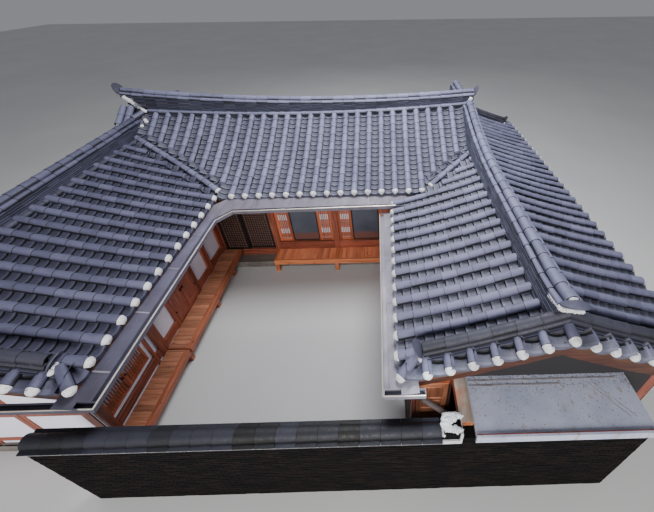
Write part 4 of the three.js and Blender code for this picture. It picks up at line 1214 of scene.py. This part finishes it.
def build_plank_doors():
    """A pair of plank leaves, each with an iron plate and a ring by the meeting edge."""
    low, high = 0.5703, 2.33
    front, back = -0.002, 0.038
    rails = ((low, low + 0.1), (1.28, 1.37), (high - 0.09, high))
    for name, u, ring in (("left_door_front", (-4.342, -3.916), -3.951),
                          ("left_door_rear", (-3.904, -3.478), -3.869)):
        wood, iron = Pile(left_front), Pile()
        a, b = leaf_frame(wood, u, (front, back), (low, high), 0.07, rails, recess=0.003)
        edges = np.linspace(a, b, 4)
        for a, b in zip(edges, edges[1:]):
            for (_, foot), (head, _) in zip(rails, rails[1:]):
                block(wood, (a + 0.0015, front + 0.012, foot), (b - 0.0015, back - 0.004, head), along=2)
        tube(iron, [left_front(ring, front + n, 1.18) for n in (0.001, -0.006)], 0.03, 14)
        tube(iron, [left_front(ring + u, front - 0.012, 1.165 + w) for u, w in circle(0.026, 13)], 0.004, 6)
        piece(f"{name}_planks", wood, PLANK, body=name, stands_for=[name])
        piece(f"{name}_ring", iron, IRON, body=name)


def build_right_door():
    wood, iron = Pile(gable_front), Pile()
    low, high, depth = 0.2103, 1.9, 0.04
    rails = [(low, low + 0.14), (0.78, 0.87), (1.0, 1.1), (1.36, 1.44), (high - 0.1, high)]
    a, b = leaf_frame(wood, (1.837, 2.323), (0.0, depth), (low, high), 0.08, rails)
    for (_, foot), (head, _) in zip(rails, rails[1:]):
        block(wood, (a, 0.016, foot), (b, depth - 0.006, head))
        block(wood, (a + 0.025, 0.008, foot + 0.025), (b - 0.025, depth - 0.01, head - 0.025), chamfer=0.008)
    tube(iron, [gable_front(2.27, 0.001, 1.06), gable_front(2.27, -0.02, 1.06)], 0.012)
    lump(iron, gable_front(2.27, -0.035, 1.06), (0.024, 0.02, 0.024), rough=0.01)
    piece("right_door_panels", wood, PANEL, body="right_door", stands_for=["right_door"])
    piece("right_door_knob", iron, IRON, body="right_door")


def boards_across(pile, start, end, width, reach, top, along_x):
    """Boards side by side from start to end, each a little different in width and height."""
    at = start
    while at < end - 0.02:
        wide = min(width * chance.uniform(0.85, 1.15), end - at)
        if end - at - wide < 0.04:
            wide = end - at
        heights = (top - 0.05, top - 0.004 - chance.uniform(0, 0.003))
        level_block(pile, along_x, (at + 0.001, at + wide - 0.001), reach, heights, along=int(along_x))
        at += wide


def build_porches():
    boards, beams = Pile(), Pile()
    top = 0.425
    for start, end in ((-1.765, -0.14), (-0.02, 1.7)):
        boards_across(boards, start, end, 0.1, (-2.258, -1.8303), top, True)
    block(beams, (-1.835, -2.33, 0.265), (1.7597, -2.26, top), chamfer=0.012)
    for x0, x1 in ((-1.835, -1.765), (-0.14, -0.02), (1.7, 1.7597)):
        block(beams, (x0, -2.26, top - 0.08), (x1, -1.8303, top - 0.001), along=1)
    for x in (-1.78, -0.08, 1.635):
        block(beams, (x - 0.055, -2.325, 0.04), (x + 0.055, -2.222, 0.27), chamfer=0.01)
        block(beams, (x - 0.06, -2.33, 0), (x + 0.06, -2.215, 0.045), chamfer=0.008)
    piece("main_porch_boards", boards, LIT_BOARDS, stands_for=["main_porch"])
    piece("main_porch_beams", beams, LIT_BEAM)
    boards, beams = Pile(), Pile()
    wall = -3.3597
    for top, edge, y0, y1 in ((0.5, -2.86, -4.99, -1.88), (0.478, -2.89, -6.54, -4.992)):
        boards_across(boards, y0 + 0.02, y1, 0.105, (wall, edge - 0.102), top, False)
        block(beams, (edge - 0.1, y0, top - 0.16), (edge, y1, top), chamfer=0.012)
        block(beams, (wall, y0, top - 0.1), (edge - 0.1, y0 + 0.02, top - 0.001))
    for y, foot_top in ((-4.93, 0.45), (-3.5, 0.45), (-2.4, 0.45), (-6.45, 0.428)):
        block(beams, (-3.085, y - 0.055, 0.0), (-2.975, y + 0.055, foot_top), chamfer=0.01)
    piece("left_porch_boards", boards, SHADED_LEFT_BOARDS, stands_for=["left_porch"])
    piece("left_porch_beams", beams, SHADED_LEFT_BEAM)


# Stone, brick and plain walls

BASE_SIDES = (  # along x or not, the face, its start and end, and which way it looks
    (True, -2.12, -3.25, 1.7, -1), (True, 1.71, -6.746, 5.64, 1),
    (False, -6.75, -6.6, 1.7, -1), (False, 5.642, -6.55, 1.7, 1),
    (False, -3.2603, -6.6, -2.13, 1), (False, 1.7003, -6.54, -2.13, -1),
    (True, -6.61, -6.746, -3.27, -1), (True, -6.555, 1.71, 5.63, -1),
)
BRICK_SIDES = (  # the same, with the foot and top of the wall
    (True, -7.32, -3.388, 4.898, -1, 0.01, 1.94), (True, -7.11, -3.388, 2.348, 1, 0.01, 1.94),
    (False, -3.39, -7.318, -7.112, -1, 0.01, 1.94), (False, 2.35, -7.188, -7.112, 1, 0.01, 1.94),
    (False, 4.9, -7.318, -6.56, 1, 0.01, 1.94), (False, 2.11, -7.318, -7.112, -1, 2.02, 2.19),
)


def stone_course(pile, along_x, face, start, end, outward, low, high):
    at = start
    while at < end - 0.02:
        wide = 0.62 * chance.uniform(0.7, 1.3)
        if end - at - wide < 0.25:
            wide = end - at
        depth = (face - outward * 0.03, face + outward * chance.uniform(0.006, 0.012))
        level_block(pile, along_x, (at + 0.004, at + wide - 0.004), depth, (low + 0.004, high), chamfer=0.01)
        at += wide


def build_bases():
    stones = Pile()
    for low, high in ((0, BASE_TOP / 2), (BASE_TOP / 2, BASE_TOP)):
        for side in BASE_SIDES:
            stone_course(stones, *side, low, high)
    piece("base_stones", stones, STONE)


def brick_face(pile, along_x, face, start, end, outward, low, high):
    """Bricks in courses, every second one shifted by half a brick."""
    length, height, joint = 0.19, 0.057, 0.01
    course = 0
    z = low
    while z + height <= high + 0.004:
        at = start - (0.1 if course % 2 else 0)
        while at < end - 0.02:
            a, b = max(at, start), min(at + length, end)
            depth = (face - outward * 0.015, face + outward * chance.uniform(0.003, 0.007))
            if b - a > 0.03:
                level_block(pile, along_x, (a, b), depth, (z, z + height), chamfer=0.003)
            at += length + joint
        z += height + joint
        course += 1


def build_front_walls():
    bricks = Pile()
    for side in BRICK_SIDES:
        brick_face(bricks, *side)
    piece("front_bricks", bricks, SHADED_BRICK)
    build_wall_cap()
    build_lean_to()


def build_wall_cap():
    """The tiles along the top of the brick wall, its white ledges and the mortar on the pier."""
    caps, ledge, mortar = Pile(), Pile(), Pile()
    middle, pitch = -7.215, 0.275
    x = -3.39
    while x < 2.05:
        end = min(x + pitch, 2.1)
        tint = chance.random()
        cover_tile(caps, Vector((x, middle, 2.02)), Vector((end + 0.008, middle, 2.02)), 0.1, 0.02, tint)
        for y in (middle - 0.125, middle + 0.125):
            block(caps, (x + 0.001, y - 0.03, 2.0105), (end - 0.001, y + 0.03, 2.03), tint)
        x += pitch
    block(ledge, (-3.39, -7.35, 1.94), (2.345, -7.3, 2.0095), chamfer=0.01)
    block(ledge, (-3.39, -7.13, 1.95), (2.345, -7.095, 2.0095), chamfer=0.01)
    block(ledge, (2.325, -7.35, 1.94), (2.36, -7.12, 2.2), chamfer=0.01)
    for _ in range(16):
        at = (chance.uniform(2.13, 2.33), chance.uniform(-7.29, -7.13), chance.uniform(2.195, 2.215))
        lump(mortar, at, (chance.uniform(0.03, 0.07), chance.uniform(0.03, 0.06), 0.025), 0.25)
    for k in range(9):
        lump(mortar, (2.115 + 0.01 * (k % 2), -7.3 + 0.02 * k, 2.13 + 0.008 * k), (0.03, 0.03, 0.05), 0.25)
    for k in range(12):
        lump(mortar, (2.16 + 0.03 * (k % 7), -7.12 + 0.012 * (k // 7), 2.2), (0.05, 0.04, 0.028), 0.25)
    piece("front_cap_tiles", caps, CAP_TILE, stands_for=["front_wall_cap"])
    piece("front_ledge", ledge, MORTAR)
    piece("pier_mortar", mortar, MORTAR)


def build_lean_to():
    """The rusty edge and the folds of the sheet roof, and the boards below its open side."""
    edge, folds, boards = Pile(), Pile(), Pile()
    block(edge, (2.54, -7.322, 2.1245), (4.93, -7.308, 2.1295), chamfer=0.001)
    for y, end in ((-6.7, 3.9), (-6.63, 4.75)):
        block(folds, (2.56, y, 2.0995), (end, y + 0.025, 2.1045), chamfer=0.002)
    for x in (4.3, 4.38):
        tube(folds, [(x, -6.68, 2.0995), (x + 0.38, -7.15, 2.0995)], 0.006, 8)
    piece("lean_to_edge", edge, RUST)
    piece("lean_to_folds", folds, FOLD)
    edges = np.linspace(-7.16, -6.84, 4)
    for a, b in zip(edges, edges[1:]):
        block(boards, (2.39, a + 0.001, 0.0), (2.52, b - 0.001, 1.9597))
    piece("lean_to_boards", boards, SIDE_BOARD, stands_for=["lean_to_side"])


REAR_TOP = 2.5


def rear_deck(u):
    """The roof deck over the rear wall, no higher than its posts need."""
    decks = [0]
    if -5.6 < u < 3.6:
        decks.append(main_deck(u, 1.66))
    if u < -3:
        decks.append(left_deck(u, 1.66))
    if u > 2:
        decks.append(right_deck(u, 1.66))
    return min(REAR_TOP + SLAB + 0.01, max(decks))


SIDE_POSTS = np.linspace(-6.47, 1.57, 5)
OUTER_WALLS = (  # the wall's frame, its span, its posts and the deck above it
    (lambda u, n, w: (u, 1.65 - n, w), (-6.69, 5.582), np.linspace(-6.6, 5.49, 8), rear_deck),
    (lambda u, n, w: (-6.69 + n, u, w), (-6.55, 1.65), SIDE_POSTS, partial(left_deck, -6.7)),
    (lambda u, n, w: (5.582 - n, u, w), (-6.55, 1.65), SIDE_POSTS, partial(right_deck, 5.59)),
    (lambda u, n, w: (u, GABLE_Y + n, w), (-6.69, -3.45), (-6.6, -5.6, -4.6, -3.53),
     lambda u: left_deck(u, GABLE_Y)),
)


def build_outer_timbers():
    """Posts and rails laid on the plain walls, a little proud of their plaster."""
    wood = Pile()
    for place, span, columns, deck in OUTER_WALLS:
        wood.place = place
        for u in columns:
            block(wood, (u - 0.08, -0.015, BASE_TOP), (u + 0.08, 0.01, deck(u) - SLAB - 0.01))
        for z in (BASE_TOP + 0.1, BASE_TOP + 1.0, BASE_TOP + 1.95):
            block(wood, (span[0], -0.011, z), (span[1], 0.01, z + 0.12))
    wood.place = None
    block(wood, (2.34, GABLE_Y - 0.015, BASE_TOP), (2.36, GABLE_Y + 0.01, 2.3), chamfer=0.003)
    for x in (3.0, 4.3, 5.49):
        block(wood, (x - 0.08, GABLE_Y - 0.003, BASE_TOP), (x + 0.08, GABLE_Y + 0.01, 2.03), chamfer=0.002)
    piece("outer_timbers", wood, POSTS)


# Rainwater goods

SEAM_STEP = 0.95
GUTTERS = (
    ((2.29, -2.93, 2.69), (-2.08, -3.01, 2.67), (-2.345, -3.31, 2.655), (-2.27, -7.11, 2.64)),
    ((1.33, -6.99, 2.5), (1.235, -3.0, 2.5)),
)


def build_gutter_trim():
    """Bright lips along the gutters, seams across them, and iron rings on the downpipe."""
    lip, seams, rings = Pile(), Pile(), Pile()
    for line in GUTTERS:
        tube(lip, [(min(x, 1.6), y, z + 0.004) for x, y, z in line], 0.011, 8)
        for a, b in zip(line, line[1:]):
            gutter_seams(seams, Vector(a), Vector(b))
    tube(lip, [(-4.6, -7.104, 2.642), (-2.28, -7.104, 2.642)], 0.009, 8)
    tube(lip, [(1.34, -6.984, 2.502), (1.89, -6.984, 2.502)], 0.009, 8)
    piece("gutter_lips", lip, LIP)
    piece("gutter_seams", seams, GALVANISED)
    tube(rings, [(1.84 + x, -6.94 + y, 2.436) for x, y in circle(0.042, 17)], 0.008, 6)
    for z in (2.05, 1.1, 0.3):
        tube(rings, [(2.19 + x, -7.04 + y, z) for x, y in circle(0.044, 17)], 0.006, 6)
    piece("pipe_rings", rings, IRON)


def gutter_seams(pile, a, b):
    """Seams across a straight run of gutter. The short turn at the corner has none."""
    length = (b - a).length
    if length < 0.6:
        return
    run = (b - a).normalized()
    inward = Vector((run.y, -run.x, 0)).normalized()
    flat = Vector((run.x, run.y, 0)) * 0.012
    count = round(length / SEAM_STEP)
    for k in range(count):
        at = a + (b - a) * (k + 0.5) / count
        ends = (at + inward * 0.1 - UP * 0.006, at + inward * 0.44 + UP * 0.062)
        bar(pile, ends, (-flat, flat), (0, 0.004))


# Carried-over nodes

NODE_LOOKS = (
    (DECK, "main_roof left_roof right_roof"),
    (PLASTER, "left_inner_wall_front left_inner_wall_rear left_front_wall left_outer_wall rear_wall "
              "right_outer_wall right_inner_wall"),
    (SHADED_GREY_PLASTER, "right_front_wall"),
    (UPRIGHT_BOARD, "main_front_wall main_door_head left_door_head right_door_head"),
    (LEVEL_BOARD, "main_floor left_floor right_floor"),
    (SHADED_GABLE_BOARD, "left_front_bargeboard left_rear_bargeboard right_front_bargeboard right_rear_bargeboard"),
    (STONE, "main_base left_base right_base"),
    (GUTTER_ZINC, "courtyard_gutter"),
    (GALVANISED, "right_gutter"),
    (PIPE, "downpipe"),
    (SHADED_JOINT, "front_wall lean_to_end_wall"),
    (SHEET, "lean_to_roof"),
    (OLD_BEAM, "lean_to_beam"),
)


def dress_nodes():
    for material, names in NODE_LOOKS:
        for name in names.split():
            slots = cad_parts[name].data.materials
            slots.clear()
            slots.append(material)


# Stage, light and camera

CAMERA_AT = (1.4659, -9.0396, 7.0281)
CAMERA_TURN = (-0.8579, 35.3054, -0.6565)  # yaw, pitch and roll in degrees
CAMERA_LENS = {"sensor_width": 36, "lens": 18.034, "shift_x": -0.10177, "shift_y": -0.07798}


def build_stage():
    floor = bpy.data.meshes.new("stage_floor")
    corners = [(x, y, -0.002) for x, y in ((-60, -60), (60, -60), (60, 60), (-60, 60))]
    floor.from_pydata(corners, [], [(0, 1, 2, 3)])
    floor.materials.append(STAGE)
    show("stage_floor", floor)


def place_light(kind, name, at, aim, power, colour, **settings):
    """A light at one point that looks at another."""
    light = bpy.data.lights.new(name, kind)
    light.energy = power
    light.color = colour
    for key, value in settings.items():
        setattr(light, key, value)
    obj = show(name, light)
    obj.location = at
    obj.rotation_euler = (Vector(aim) - Vector(at)).to_track_quat("-Z", "Y").to_euler()


def build_light():
    place_light("SPOT", "door", (2.0, -9.1, 6.3), (2.04, -6.2, 1.1), 1700, (0.82, 0.92, 1.0),
                spot_size=math.radians(10), spot_blend=0.7, shadow_soft_size=0.2)
    for name, at, aim, size, power, colour in (
        ("key", (1.6, -1.8, 9.8), (1.2, -2.2, 0), 4, 1000, (0.96, 0.97, 1.0)),
        ("front", (1.0, -21, 8.5), (0, -2, 1), 8, 3200, (1.0, 0.98, 0.95)),
        ("rear", (0, 14, 14), (0, 0, 3), 10, 700, (0.95, 0.97, 1.0)),
    ):
        place_light("AREA", name, at, aim, power, colour, shape="DISK", size=size)
    world = bpy.data.worlds.new("studio")
    world.use_nodes = True
    back = world.node_tree.nodes["Background"]
    back.inputs["Color"].default_value = (0.93, 0.95, 1.0, 1)
    back.inputs["Strength"].default_value = 0.27
    bpy.context.scene.world = world


def build_camera():
    yaw, pitch, roll = (math.radians(v) for v in CAMERA_TURN)
    ahead = Vector((-math.sin(yaw) * math.cos(pitch), math.cos(yaw) * math.cos(pitch), -math.sin(pitch)))
    level = Vector((math.cos(yaw), math.sin(yaw), 0))
    upward = level.cross(ahead)
    right = level * math.cos(roll) + upward * math.sin(roll)
    up = upward * math.cos(roll) - level * math.sin(roll)
    data = bpy.data.cameras.new("view")
    for key, value in CAMERA_LENS.items():
        setattr(data, key, value)
    camera = show("view", data)
    turn = Matrix((right, up, -ahead)).transposed().to_4x4()
    camera.matrix_world = Matrix.Translation(CAMERA_AT) @ turn
    bpy.context.scene.camera = camera


build_main_roof()
build_wing_roof(LEFT, left_deck, LEFT_SLOPES, left_ridge_top, [(-6.68, -0.1), (0.1, 1.82)],
                ["left_front_ridge", "left_rear_ridge"], (SHADED_LEFT_TILE, SHADED_LEFT_PAN_TILE), below=True)
build_wing_roof(RIGHT, right_deck, RIGHT_SLOPES, right_ridge_top, [(-6.52, 1.82)], ["right_ridge"],
                (TILE, SHADED_RIGHT_PAN_TILE))
build_rafters()
build_frames()
build_main_windows()
build_side_windows()
build_sliding_doors()
build_plank_doors()
build_right_door()
build_porches()
build_bases()
build_front_walls()
build_outer_timbers()
build_gutter_trim()
dress_nodes()
build_stage()
build_light()
build_camera()
